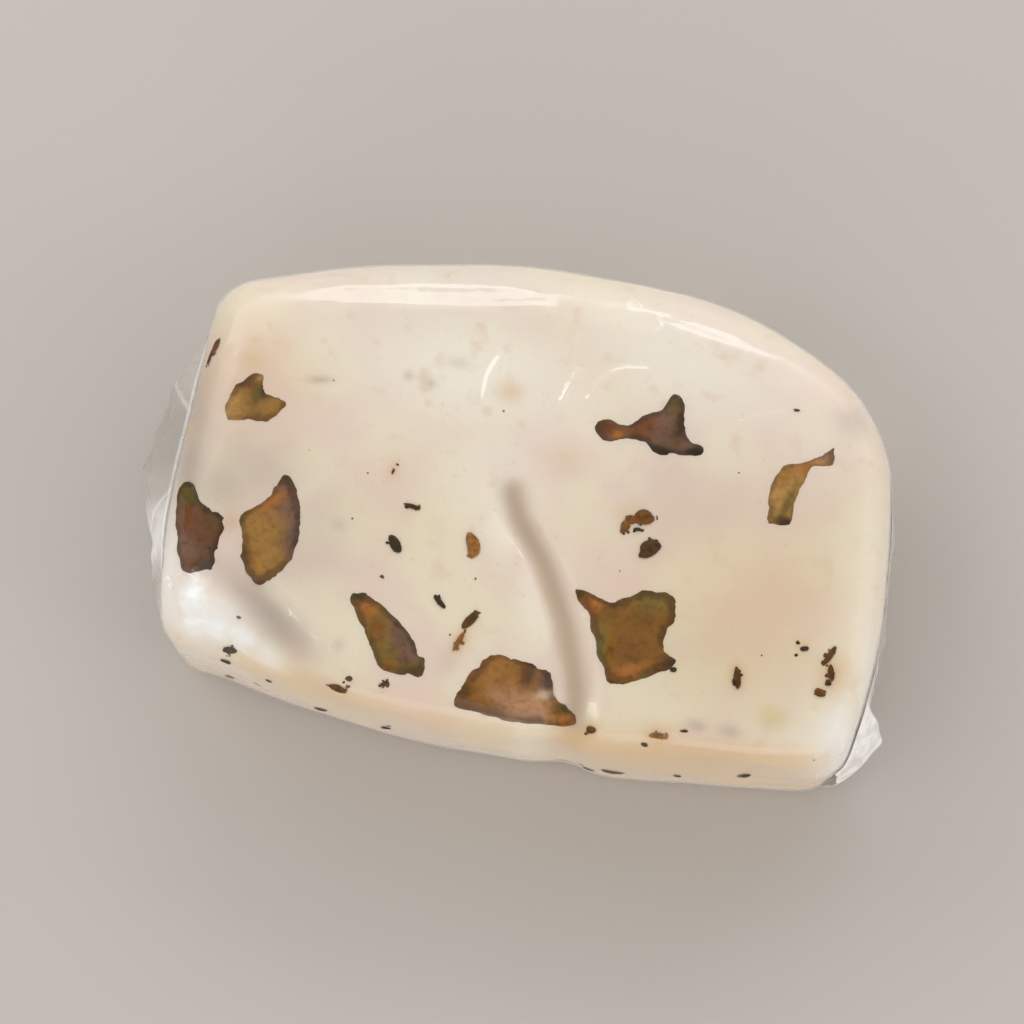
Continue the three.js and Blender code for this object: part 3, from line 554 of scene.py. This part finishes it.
# The lowest that a kernel or a crumb may reach, so that none comes through the film.
OVER_TABLE = 0.04
random = np.random.default_rng(5)
wrinkles = bpy.data.textures.new("walnut_wrinkles", "CLOUDS")
wrinkles.noise_scale = 1.6 * MM
wrinkles.noise_depth = 3
breaks = []
for size in (1.3, 1.9, 2.4, 3.2):
    broken_edge = bpy.data.textures.new("broken_edge", "CLOUDS")
    broken_edge.noise_scale = size * MM
    broken_edge.noise_depth = 2
    breaks.append(broken_edge)
for node_name in nut_nodes:
    face = node_name.split("_")[1]
    kind = "top" if face == "top" else "other"
    out = OUT_OF_FACE[face]
    kernel = copied(node_name, node_name.replace("walnut", "kernel"))
    finished(kernel, "DISPLACE", strength=0.2 * MM, mid_level=0)
    finished(kernel, "REMESH", mode="VOXEL", voxel_size=KERNEL_MESH[kind] * MM)
    finished(kernel, "SMOOTH", factor=0.5, iterations=2)
    along_face = [axis for axis, part in zip("XYZ", out) if part == 0]
    for axis, texture in zip(along_face, breaks[:2] if kind == "top" else breaks[2:]):
        reach = BROKEN_BY[kind] * MM
        finished(kernel, "DISPLACE", texture=texture, texture_coords="LOCAL", direction=axis, strength=reach)
    places = points_of(kernel)
    for x, y, reach, along, across in TIPS.get(node_name, []):
        away = np.hypot(places[:, 0] / MM - x, places[:, 1] / MM - y)
        places += np.exp(-((away / reach) ** 2))[:, None] * np.array((along, across, 0.0)) * MM
    spots = places - np.outer(places @ out, out)
    outline = spots[np.abs(points_of(kernel, "normal") @ out) < 0.6][::3]
    rim = np.array([np.sqrt(((outline - spot) ** 2).sum(1).min()) / MM for spot in spots])
    # It stands level with the nougat, its rim drawn under so that the mass laps over it unevenly.
    lift = (-0.07 if face != "under" else 0.0) - 0.06 * np.exp(-((rim / 0.35) ** 2))
    put_points(kernel, places + out * lift[:, None] * MM)
    finished(kernel, "DISPLACE", texture=wrinkles, texture_coords="LOCAL", strength=0.12 * MM, mid_level=0.5)
    if face == "under":
        places = points_of(kernel)
        places[:, 2] = np.maximum(places[:, 2], OVER_TABLE * MM)
        put_points(kernel, places)
    noted(kernel, "rim", rim)
    plain = [AMBER, RED, BROWN, OLIVE, GOLD][random.integers(5)]
    own, blushes = DYES.get(node_name, (plain, []))
    dyes = np.tile((*own, 1.0), (len(places), 1))
    for x, y, reach_x, reach_y, turn, blush in blushes:
        share = np.clip(1.4 * soft_spot(places, x, y, reach_x, reach_y, turn), 0, 1)[:, None]
        dyes[:, :3] = dyes[:, :3] * (1 - share) + np.array(blush) * share
    if not blushes:
        middle = spots.mean(0) + random.normal(0, 2, 3) * MM
        share = np.exp(-(((spots - middle) / (2.4 * MM)) ** 2).sum(1))[:, None]
        dyes[:, :3] = dyes[:, :3] * (1 - share) + np.array([RUST, PLUM, TAN][random.integers(3)]) * share
    skin = kernel.data.attributes.new("dye", "FLOAT_COLOR", "POINT")
    skin.data.foreach_set("color", dyes.astype(np.float32).ravel())
    smooth_shaded(kernel)
    kernel.data.materials.append(walnut_flesh)
    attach(kernel, "root")
    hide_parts(node_name)

# ---- The crumbs ----------------------------------------------------------------------------------------
# Flakes of broken walnut and of its skin, left over from the chopping and caught between nougat and film.
# They lie flat on the slab, the larger ones golden inside and the smallest no more than dark specks.
#
# Each is x, y, length, width, turn and tone, from 0 for black brown to 1 for orange.
TOP_CRUMBS = [
    (15.4, -0.8, 3.2, 1.9, 15, 0.6), (13.3, -2.4, 1.4, 2.0, -10, 0.7), (13.9, -1.4, 1.5, 1.2, 30, 0.65),
    (14.9, -2.4, 1.3, 0.4, 10, 0.2), (16.6, -4.4, 3.1, 2.0, 42, 0.3), (17.3, -3.8, 1.3, 1.4, 0, 0.1),
    (-4.3, -8.8, 3.2, 1.7, -65, 0.8), (-13.9, -10.4, 2.5, 1.3, -45, 0.15),
    (-12.7, -5.4, 2.3, 0.6, 0, 0.2), (-2.4, -17.6, 3.0, 1.1, 62, 0.35), (-3.2, -20.4, 2.8, 0.8, 75, 0.75),
    (-6.6, -16.3, 2.0, 0.7, -45, 0.15), (-30.5, -27.2, 1.9, 1.1, 15, 0.15),
    (-31.1, -28.1, 1.7, 1.2, 60, 0.25), (-16.6, -28.9, 3.0, 1.4, 12, 0.45),
    (-11.0, -27.5, 1.5, 0.7, 35, 0.3), (-15.2, -27.7, 0.9, 0.7, 0, 0.3),
    (30.3, -17.6, 2.6, 0.9, -70, 0.3), (30.2, -18.4, 1.2, 0.5, -60, 0.1),
    (40.5, -12.6, 2.6, 0.8, 70, 0.35), (41.0, -14.6, 2.0, 1.0, -70, 0.4),
    (41.1, -15.8, 1.1, 0.7, 20, 0.2), (40.4, -17.2, 1.4, 0.9, 0, 0.6), (37.4, -12.4, 1.1, 0.8, 0, 0.2),
    (36.5, -11.8, 0.6, 0.5, 0, 0.1), (36.6, -13.4, 0.6, 0.4, 0, 0.1), (22.5, -26.4, 2.4, 0.9, 10, 0.8),
    (21.2, -27.6, 1.0, 0.5, -20, 0.2), (14.4, -27.3, 1.5, 0.8, 30, 0.5), (-41.6, 9.6, 2.2, 0.9, 80, 0.5),
    (-42.0, 8.0, 1.9, 0.7, 80, 0.35), (-2.7, -32.0, 1.0, 0.5, 0, 0.2), (-14.2, -14.8, 0.6, 0.4, 0, 0.3),
    (-28.6, -18.4, 0.5, 0.4, 0, 0.3), (-16.0, -1.6, 0.5, 0.8, 0, 0.7), (-15.7, -0.6, 0.5, 0.4, 0, 0.7),
    (30.6, 16.6, 0.8, 0.5, 20, 0.3), (22.6, -18.3, 0.9, 0.7, -10, 0.1), (-35.8, -15.6, 0.9, 0.5, 0, 0.1),
    (-30.2, -23.2, 0.5, 0.4, 0, 0.2), (25.5, -25.2, 1.0, 0.4, 10, 0.25),
]
# On the other faces: across, up, length, width, turn and tone, seen straight at the face.
SIDE_CRUMBS = {
    "front": [
        (-19.4, 12.0, 2.4, 1.6, 30, 0.4), (17.6, 9.0, 3.0, 1.8, -20, 0.6), (33.8, 14.0, 2.2, 1.4, 60, 0.3),
    ],
    "right": [(-3.3, 16.0, 2.6, 1.8, 10, 0.5)],
    "rear": [
        (-13.4, 5.5, 3.0, 2.0, 20, 0.5), (11.4, 15.0, 2.4, 2.0, -50, 0.3), (33.9, 12.0, 3.2, 1.6, 75, 0.6),
    ],
}

random = np.random.default_rng(11)
for face, count in (("front", 9), ("rear", 12), ("left", 6), ("right", 7), ("under", 26)):
    low, high = (-24, 20) if face in ("left", "right") else (-38, 40)
    for _ in range(count):
        across = random.uniform(low, high)
        up = random.uniform(-22, 20) if face == "under" else random.uniform(4, 18)
        size = random.uniform(0.5, 1.7)
        width = size * random.uniform(0.4, 0.9)
        crumb = (across, up, size, width, random.uniform(0, 180), random.uniform(0.1, 0.8))
        SIDE_CRUMBS.setdefault(face, []).append(crumb)
# Small bits lie along the outline of each larger crumb, and specks of dust anywhere.
for x, y, length, width, turn, tone in [crumb for crumb in TOP_CRUMBS if crumb[2] > 1.2]:
    for _ in range(4):
        angle, bit = random.uniform(0, math.tau), random.uniform(0.3, 0.7)
        along, beside = math.cos(angle) * length * 0.46, math.sin(angle) * width * 0.46
        turned = math.radians(turn)
        place = (
            x + along * math.cos(turned) - beside * math.sin(turned),
            y + along * math.sin(turned) + beside * math.cos(turned),
        )
        shade = tone + random.uniform(-0.2, 0.2)
        TOP_CRUMBS.append((*place, bit, bit * random.uniform(0.4, 0.9), random.uniform(0, 180), shade))
for _ in range(16):
    size = random.uniform(0.18, 0.36)
    x, y = random.uniform(-40, 43), random.uniform(-27, 20)
    TOP_CRUMBS.append((x, y, size, size, 0, random.uniform(0.3, 0.9)))

# A flake is a low dome, flat below.
bpy.ops.mesh.primitive_ico_sphere_add(subdivisions=3, radius=1)
flake = bpy.context.object
bpy.ops.object.mode_set(mode="EDIT")
bpy.ops.mesh.bisect(plane_co=(0, 0, -0.5), plane_no=(0, 0, 1), clear_inner=True, use_fill=True)
bpy.ops.mesh.select_all(action="SELECT")
bpy.ops.transform.resize(value=(0.5, 0.5, 0.22))
bpy.ops.object.mode_set(mode="OBJECT")

ground = BVHTree.FromObject(nougat, bpy.context.evaluated_depsgraph_get())
flakes = []
for face, crumbs in {"top": TOP_CRUMBS, **SIDE_CRUMBS}.items():
    out = OUT_OF_FACE[face]
    up = np.array((0.0, 1.0, 0.0)) if face in ("top", "under") else np.array((0.0, 0.0, 1.0))
    across = np.abs(np.cross(up, out))
    for x, y, length, width, turn, tone in crumbs:
        spot = (across * x + up * y) * MM
        hit, slope, _, _ = ground.ray_cast(Vector(spot + out * 0.2), Vector(-out))
        if hit is None:
            continue
        crumb = bpy.data.objects.new("crumb", flake.data.copy())
        bpy.context.scene.collection.objects.link(crumb)
        shape = points_of(crumb)
        round_about = np.arctan2(shape[:, 1], shape[:, 0])
        # Its outline runs straight from one broken corner to the next.
        corners = (random.uniform(0, 0.8, 6) + np.arange(6)) * math.tau / 6 - math.pi
        reach = np.interp(round_about, corners, random.uniform(0.5, 1.3, 6), period=math.tau)
        angle = math.radians(turn)
        along, beside = shape[:, 0] * reach * length, shape[:, 1] * reach * width
        flat_x = along * math.cos(angle) - beside * math.sin(angle)
        flat_y = along * math.sin(angle) + beside * math.cos(angle)
        # It is laid on the slope of the face, point by point.
        level = (Vector(across) - slope * slope.dot(Vector(across))).normalized()
        rising = slope.cross(level) * (1 if Vector(up).dot(slope.cross(level)) > 0 else -1)
        places = np.empty_like(shape)
        for i, height in enumerate(shape[:, 2] * min(length, 1.4) * 0.4):
            under, facing, _, _ = ground.find_nearest(hit + (level * flat_x[i] + rising * flat_y[i]) * MM)
            places[i] = under + facing * height * MM
        put_points(crumb, places)
        noted(crumb, "tone", np.full(len(places), tone))
        flakes.append(crumb)
bpy.data.objects.remove(flake)
crumbs = flakes[0]
picked(*flakes[1:], crumbs)
bpy.ops.object.join()
crumbs.name = "crumbs"
places = points_of(crumbs)
places[:, 2] = np.maximum(places[:, 2], OVER_TABLE * MM)
put_points(crumbs, places)
smooth_shaded(crumbs)

material, shader, nodes, links = painted("crumb_flakes", 0.5)
place = nodes.new("ShaderNodeTexCoord").outputs["Object"]
tone = noted_value(nodes, "tone")
golden = spread(nodes, links, tone, 0.1, 0.6)
colour = tinted(nodes, links, golden, (0.05, 0.032, 0.013), (0.18, 0.07, 0.014))
colour = tinted(nodes, links, spread(nodes, links, tone, 0.6, 0.9), colour, (0.38, 0.17, 0.04))
mottle = spread(nodes, links, noise_at(nodes, links, place, 1500, 3), 0.35, 0.7)
colour = darkened(nodes, links, mottle, colour, 0.55)
shader.inputs["Specular IOR Level"].default_value = 0.15
links.new(colour, shader.inputs["Base Color"])
grain = noise_at(nodes, links, place, 2200, 3)
links.new(roughened(nodes, links, grain, 0.06 * MM, 0.6), shader.inputs["Normal"])
crumbs.data.materials.append(material)
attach(crumbs, "root")

# ---- The film ------------------------------------------------------------------------------------------
# One sheet of clear wrapping film, drawn tight round the slab so that it lies on it like a skin. It
# bridges the small hollows, and where it was pulled hard it stands in fine ridges that gleam.


def film_material(name, haze, roughness, rim_haze, tint, milk):
    """Clear film, milkier where a cloud is noted, and glossy, but puckered where it is slack. On the wrap
    the cloud is mostly painted glare.
    """
    material, shader, nodes, links = painted(name, roughness)
    place = nodes.new("ShaderNodeTexCoord").outputs["Object"]
    cloud, slack, dull = (noted_value(nodes, name) for name in ("cloud", "slack", "dull"))
    # A thin sheet reflects alike from both its faces: little straight on, and much at a grazing view.
    # Where it is crumpled fine it mirrors less.
    grazing = nodes.new("ShaderNodeMath")
    grazing.operation = "POWER"
    grazing.inputs[1].default_value = 5
    links.new(nodes.new("ShaderNodeLayerWeight").outputs["Facing"], grazing.inputs[0])
    glance = scaled(nodes, links, grazing.outputs[0], 0.28, 0.045)
    mirrored = scaled(nodes, links, glance, scaled(nodes, links, dull, -0.75, 1.0))
    patchy = spread(nodes, links, noise_at(nodes, links, place, 420, 3), 0.3, 0.62)
    mottled = scaled(nodes, links, cloud, scaled(nodes, links, patchy, 0.4, 0.7))
    clouded = nodes.new("ShaderNodeMath")
    clouded.operation = "ADD"
    clouded.use_clamp = True
    clouded.inputs[1].default_value = haze
    links.new(scaled(nodes, links, grazing.outputs[0], rim_haze, mottled), clouded.inputs[0])
    clear = nodes.new("ShaderNodeBsdfTransparent")
    clear.inputs["Color"].default_value = (*tint, 1)
    milky = nodes.new("ShaderNodeBsdfDiffuse")
    milky.inputs["Color"].default_value = (*milk, 1)
    gloss = nodes.new("ShaderNodeBsdfGlossy")
    links.new(scaled(nodes, links, dull, 0.32, roughness), gloss.inputs["Roughness"])
    broad = roughened(nodes, links, noise_at(nodes, links, place, 170, 2), 0.25 * MM, 0.4)
    puckers = scaled(nodes, links, noise_at(nodes, links, place, 620, 2, 0.4), slack)
    links.new(roughened(nodes, links, puckers, 0.5 * MM, 1.0, broad), gloss.inputs["Normal"])
    body, skin = nodes.new("ShaderNodeMixShader"), nodes.new("ShaderNodeMixShader")
    for mix, share, under, over in ((body, clouded.outputs[0], clear, milky), (skin, mirrored, body, gloss)):
        links.new(share, mix.inputs["Fac"])
        links.new(under.outputs[0], mix.inputs[1])
        links.new(over.outputs[0], mix.inputs[2])
    links.new(skin.outputs[0], nodes["Material Output"].inputs["Surface"])
    nodes.remove(shader)
    return material


# Fine ridges on the top, each its line, height and width, and round hollows, each x, y, reach and depth.
RIDGES = [
    ([(-37.0, 16.0), (-34.1, 16.6), (-29.0, 17.3), (-16.7, 19.3), (-7.6, 21.2), (-3.0, 22.5)], 0.55, 1.8),
    ([(34.8, 19.0), (38.2, 20.2), (40.8, 18.8), (41.8, 15.4)], 0.14, 0.6),
    ([(-6.3, 15.5), (-7.1, 12.8), (-7.1, 9.6)], 0.20, 0.5),
    ([(2.4, 11.6), (2.9, 14.0), (3.4, 15.6)], 0.20, 0.5),
    ([(5.6, 12.6), (6.3, 14.6), (7.6, 16.4), (9.2, 17.2), (11.6, 17.6)], 0.24, 0.55),
    ([(7.9, 27.0), (6.8, 25.6), (7.0, 23.5), (8.8, 22.2), (11.3, 22.6), (13.0, 24.2)], 0.16, 0.6),
    ([(8.6, 26.6), (10.2, 25.2), (12.2, 24.4)], 0.22, 0.5),
    ([(13.9, 23.6), (17.1, 23.1), (21.0, 22.6), (25.6, 22.2)], 0.34, 1.3),
    ([(-41.5, -23.0), (-36, -22.0), (-30.5, -23.5)], 0.2, 0.7),
    ([(-40.5, -25.4), (-34, -25.2), (-28, -27.2)], 0.2, 0.7),
    ([(-45.0, -11.5), (-42.6, -16.0), (-40.4, -20.5), (-39.2, -25)], 0.16, 0.6),
    ([(44.5, -14), (42.6, -20), (42.0, -27)], 0.18, 0.7),
    ([(46.2, -16), (44.4, -22), (43.6, -28)], 0.16, 0.6),
    ([(24.6, 13.7), (26.4, 14.6), (28.8, 15.6)], 0.2, 0.55),
    ([(-28.5, 15.2), (-27.0, 12.6)], 0.10, 0.45),
    ([(12.6, 1.8), (13.6, 2.4), (14.6, 2.0)], 0.12, 0.4),
]
# On the front wall, at -1, and the rear wall, at 1, the sheet is drawn towards the ends in long folds:
# each its line across and up, height and width.
WALL_RIDGES = {
    -1: [
        ([(-39, 5), (-33, 7.4), (-25, 8.4)], 0.14, 0.7), ([(-39, 10), (-34, 12), (-29, 12.8)], 0.12, 0.6),
        ([(-37, 2.6), (-30, 3.4), (-22, 3.2)], 0.1, 0.6), ([(44, 6), (38, 8), (30, 8.8)], 0.14, 0.7),
        ([(44, 11), (39, 13), (33, 13.6)], 0.12, 0.6), ([(43, 2.8), (36, 3.8), (29, 3.6)], 0.1, 0.6),
    ],
    1: [
        ([(-42, 6), (-36, 8.2), (-28, 9)], 0.14, 0.7), ([(-42, 11), (-37, 13.2), (-33, 13.6)], 0.12, 0.6),
        ([(40, 6), (34, 8.2), (26, 9.2)], 0.14, 0.7), ([(39, 11), (34, 13), (30, 13.4)], 0.12, 0.6),
        ([(-40, 3), (-33, 3.8), (-26, 3.4)], 0.1, 0.6), ([(38, 3), (31, 4), (24, 3.6)], 0.1, 0.6),
    ],
}
HOLLOWS = [
    (9.8, 24.4, 2.4, 0.35), (-30.5, 17.0, 3.0, 0.15), (34.0, 11.0, 3.2, 0.15), (-27, 18.6, 2.0, 0.1),
    (37.6, 16.8, 2.2, 0.3),
]
# Painted glare, glints and sheen on the film: it is made milky white where its reflections lie, at the
# front-left corner, along the left and right edges and along the rear. These are written as the tones are.
PAINTED_FILM_GLARE = [
    (-33.8, -24.0, 6.0, 4.0, -15, 0.2), (-40.2, -20.0, 0.5, 0.35, 30, 0.8), (-39.6, -20.9, 0.4, 0.5, 0, 0.8),
    (-38.7, -19.3, 0.4, 0.3, 0, 0.6), (-43.0, -15.0, 1.2, 2.4, 10, 0.22), (44.4, -24.0, 3.0, 7.0, 8, 0.22),
    (-16.0, 22.0, 16.0, 2.0, 11.6, 0.2), (21.0, 23.4, 8.0, 1.6, -12, 0.2), (39.6, 18.6, 3.6, 3.0, 0, 0.14),
]
# Where it is crumpled too finely to mirror.
DULLED = [
    (-41.5, 4, 4, 16, 13, 1.0), (-37, 14, 5.5, 4.5, 0, 1.0), (2.6, 26.2, 3.8, 2.6, -5, 1.0),
    (34, 20, 7, 4, -28, 1.0), (-33, -23.5, 8, 5, -15, 0.5), (13.0, -27.6, 3, 2.4, 0, 0.9),
    (44, -20, 4, 10, 8, 0.5), (-20, -27.5, 5, 2.6, -14, 1.0),
]

film = slab
film.name = "film_wrap"
calmed(film, 200, 5.5)
# The sheet is meshed finer beside the sharp ridges.
for beside in (0.75, 0.45):
    picked(film)
    bpy.ops.object.mode_set(mode="EDIT")
    bpy.ops.mesh.select_all(action="DESELECT")
    bpy.ops.mesh.select_mode(type="VERT")
    bpy.ops.object.mode_set(mode="OBJECT")
    places, facing = points_of(film), points_of(film, "normal")
    close = np.zeros(len(places), dtype=bool)
    for line, _, width in RIDGES:
        close |= (off_line(places, line) < beside) & (places[:, 2] > TOP_FROM * MM) & (width < 1)
    for side, folds in WALL_RIDGES.items():
        for line, _, _ in folds:
            close |= (off_line(places, line, (0, 2)) < beside - 0.2) & (facing[:, 1] * side > 0.6)
    film.data.vertices.foreach_set("select", close)
    bpy.ops.object.mode_set(mode="EDIT")
    bpy.ops.mesh.select_mode(type="FACE")
    bpy.ops.mesh.subdivide(number_cuts=1)
    bpy.ops.object.mode_set(mode="OBJECT")
finished(film, "SMOOTH", factor=0.5, iterations=3)
places, facing = points_of(film), points_of(film, "normal")
rise = np.zeros(len(places))
on_top = np.clip(facing[:, 2] * 1.6, 0, 1)
for line, height, width in RIDGES:
    rise += height * np.exp(-((off_line(places, line) / width) ** 2)) * on_top
for x, y, reach, depth in HOLLOWS:
    rise -= depth * soft_spot(places, x, y, reach, reach) * on_top
for side, folds in WALL_RIDGES.items():
    for line, height, width in folds:
        fold = height * np.exp(-((off_line(places, line, (0, 2)) / width) ** 2))
        rise += fold * np.clip(facing[:, 1] * side * 1.6, 0, 1)
put_points(film, places + facing * rise[:, None] * MM)
sag = bpy.data.textures.new("film_sag", "CLOUDS")
sag.noise_scale = 9 * MM
sag.noise_depth = 1
finished(film, "DISPLACE", texture=sag, texture_coords="LOCAL", strength=0.14 * MM, mid_level=0.35)
places = points_of(film)
# It lies on the mass and on the crumbs, and never in them.
CLEAR_OF_MASS = 0.14
for i, point in enumerate(places):
    under, out, _, _ = ground.find_nearest(Vector(point))
    sunk = CLEAR_OF_MASS * MM - (Vector(point) - under).dot(out)
    if sunk > 0:
        places[i] += out * sunk
# The sheet's two edges lap along the underside, so what lies beside the lap is one thickness higher.
LAP_MIDDLE, LAP_REACH, LAP_THICKNESS = 2.5, 6, 0.08
lap = np.clip((np.abs(places[:, 1] / MM - LAP_MIDDLE) - LAP_REACH) / 0.4, 0, 1)
under = facing[:, 2] < -0.9
places[:, 2] = np.maximum(places[:, 2], 0) + LAP_THICKNESS * MM * lap * under
put_points(film, places)
# The sheet's cloud: a milky band beside the lap underneath, and the painted glare.
cloud = np.maximum(0.3 * under * (np.abs(lap - 0.5) < 0.45), spotted(places, PAINTED_FILM_GLARE))
# It lies close on the crumb at the front left, and over the right end it is hazy, a painted pale sheen.
cloud *= 1 - 0.95 * soft_spot(places, -30.7, -27.6, 1.7, 1.3)
cloud = np.maximum(cloud, 0.1 * np.clip((facing[:, 0] - 0.7) * 4, 0, 1))
noted(film, "cloud", cloud)
slack = 0.7 * soft_spot(places, -36, -23, 9, 6, -20) + 0.8 * soft_spot(places, 44, -22, 4, 9, 8)
slack += 0.5 * soft_spot(places, -42, 5, 3, 11, 8)
noted(film, "slack", 0.06 + 0.94 * np.clip(slack, 0, 1))
noted(film, "dull", spotted(places, DULLED))
smooth_shaded(film)
wrapping = film_material("wrapping_film", 0.006, 0.07, 0.5, (1.0, 1.0, 1.0), (0.96, 0.96, 0.955))
film.data.materials.append(wrapping)
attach(film, "root")
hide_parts("nougat_block")

# ---- The film's folded ends ----------------------------------------------------------------------------
# At both ends the sheet's spare width is pleated down against the cut face and pressed flat. One flap at
# each end has sprung away from the block.
#
# For each end: which way it faces, at what share of its height the flap stands off most and how high it
# reaches, below what share it is clear, and how far it stands off and how milky it is at places along the
# end.
FLAPS = {
    "left": {
        "out": -1, "crest": 0.5, "high": 19, "clear": 0.2,
        "stand": [
            (-27, 0.4), (-22, 1.3), (-16, 2.4), (-10, 3.8), (-5, 5.0), (0, 4.6), (8, 3.4), (15, 1.6),
            (20, 0.3),
        ],
        "cloud": [
            (-27, 0.08), (-19, 0.1), (-17, 0.3), (-15.5, 0.7), (-12, 0.42), (-9, 0.14), (-4, 0.03),
            (15, 0.02),
        ],
    },
    "right": {
        "out": 1, "crest": 0.3, "high": 18.5, "clear": -0.05,
        "stand": [
            (-28, 0.4), (-24.4, 1.2), (-21, 2.4), (-18.4, 3.0), (-16.6, 2.2), (-15.6, 0.6), (-8, 0.2),
            (20, 0.2),
        ],
        "cloud": [(-28, 0.6), (-22, 0.8), (-19, 1.0), (-16.5, 1.0), (-15, 0.4), (-12, 0.12), (20, 0.06)],
    },
}
# The sheet's foot over the table, how far in from the end's sides it begins, how much lower its top is
# there, and its thickness.
FOOT, MARGIN, SHOULDER, SHEET = 0.8, 0.4, 6, 0.06


def past_tuck(across, share):
    """How far a place is past the slanting line where the sheet's side is tucked in under itself."""
    return np.abs(across) - 1 + 0.75 * share


wall = BVHTree.FromObject(film, bpy.context.evaluated_depsgraph_get())
end_film = film_material("folded_film", 0.012, 0.1, 0.1, (0.985, 0.98, 0.97), (0.95, 0.925, 0.9))
for side, flap in FLAPS.items():
    bpy.ops.object.select_all(action="DESELECT")
    bpy.ops.mesh.primitive_grid_add(x_subdivisions=150, y_subdivisions=50, size=2)
    fold = bpy.context.object
    fold.name = f"folded_film_{side}"
    grid = points_of(fold)
    low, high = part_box(f"film_end_{side}")
    stands, clouds = np.array(flap["stand"]).T, np.array(flap["cloud"]).T
    places = np.empty_like(grid)
    tucked = np.stack((np.tile(grid[:, 0], 2), np.tile((grid[:, 1] + 1) / 2, 2)))
    for i, (across, up, _) in enumerate(grid):
        share = (up + 1) / 2
        y = np.interp(across, (-1, 1), (low.y / MM + MARGIN, high.y / MM - MARGIN))
        z = np.interp(share, (0, 1), (FOOT, flap["high"] - SHOULDER * abs(across) ** 3))
        hit = wall.ray_cast(Vector((flap["out"] * 0.2, y * MM, z * MM)), Vector((-flap["out"], 0, 0)))[0]
        rise = share / flap["crest"] if share < flap["crest"] else (1 - share) / (1 - flap["crest"])
        stand = np.interp(y, *stands) * math.sin(rise * math.pi / 2)
        # Pleats of three widths run through it. It stands off most in its middle and where it is tucked in.
        pleats = 0.22 * math.sin(9 * across + 5 * share) + 0.16 * math.sin(23 * across - 7 * share + 2)
        pleats += 0.10 * math.sin(41 * across + 13 * share)
        loose = math.sin(math.pi * min(1, share * 1.05)) * (1 - abs(across) ** 6)
        stand += 0.25 - 0.14 * share + (0.3 + pleats) * loose
        stand += 0.1 * min(1, max(0, past_tuck(across, share) * 6))
        places[i] = (hit.x + flap["out"] * max(0.1, stand) * MM, y * MM, z * MM)
    put_points(fold, places)
    finished(fold, "SMOOTH", factor=0.5, iterations=1)
    finished(fold, "SOLIDIFY", thickness=SHEET * MM, offset=0)
    picked(fold)
    bpy.ops.object.mode_set(mode="EDIT")
    bpy.ops.mesh.select_all(action="SELECT")
    bpy.ops.mesh.normals_make_consistent(inside=False)
    bpy.ops.object.mode_set(mode="OBJECT")
    # Where the sheet is tucked in under itself at both sides it is doubled and milkier, and its rolled
    # rim shows.
    across, share = tucked
    doubled = np.clip(past_tuck(across, share) * 12, 0, 1)
    lines = np.exp(-((past_tuck(across, share) / 0.016) ** 2))
    lines += np.exp(-(((share - 0.42 + 0.16 * across**2) / 0.012) ** 2)) * (1 - doubled)
    rim = np.maximum(np.abs(across) > 0.985, share > 0.965)
    upper = np.clip((share - flap["clear"]) * 4, 0, 1)
    cloud = np.interp(points_of(fold)[:, 1] / MM, *clouds) * upper + 0.08 * doubled + 0.3 * rim + 0.3 * lines
    noted(fold, "cloud", np.clip(cloud, 0, 1))
    noted(fold, "slack", np.full(len(fold.data.vertices), 0.5))
    noted(fold, "dull", np.full(len(fold.data.vertices), 0.2))
    smooth_shaded(fold)
    fold.data.materials.append(end_film)
    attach(fold, "root")
    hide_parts(f"film_end_{side}")
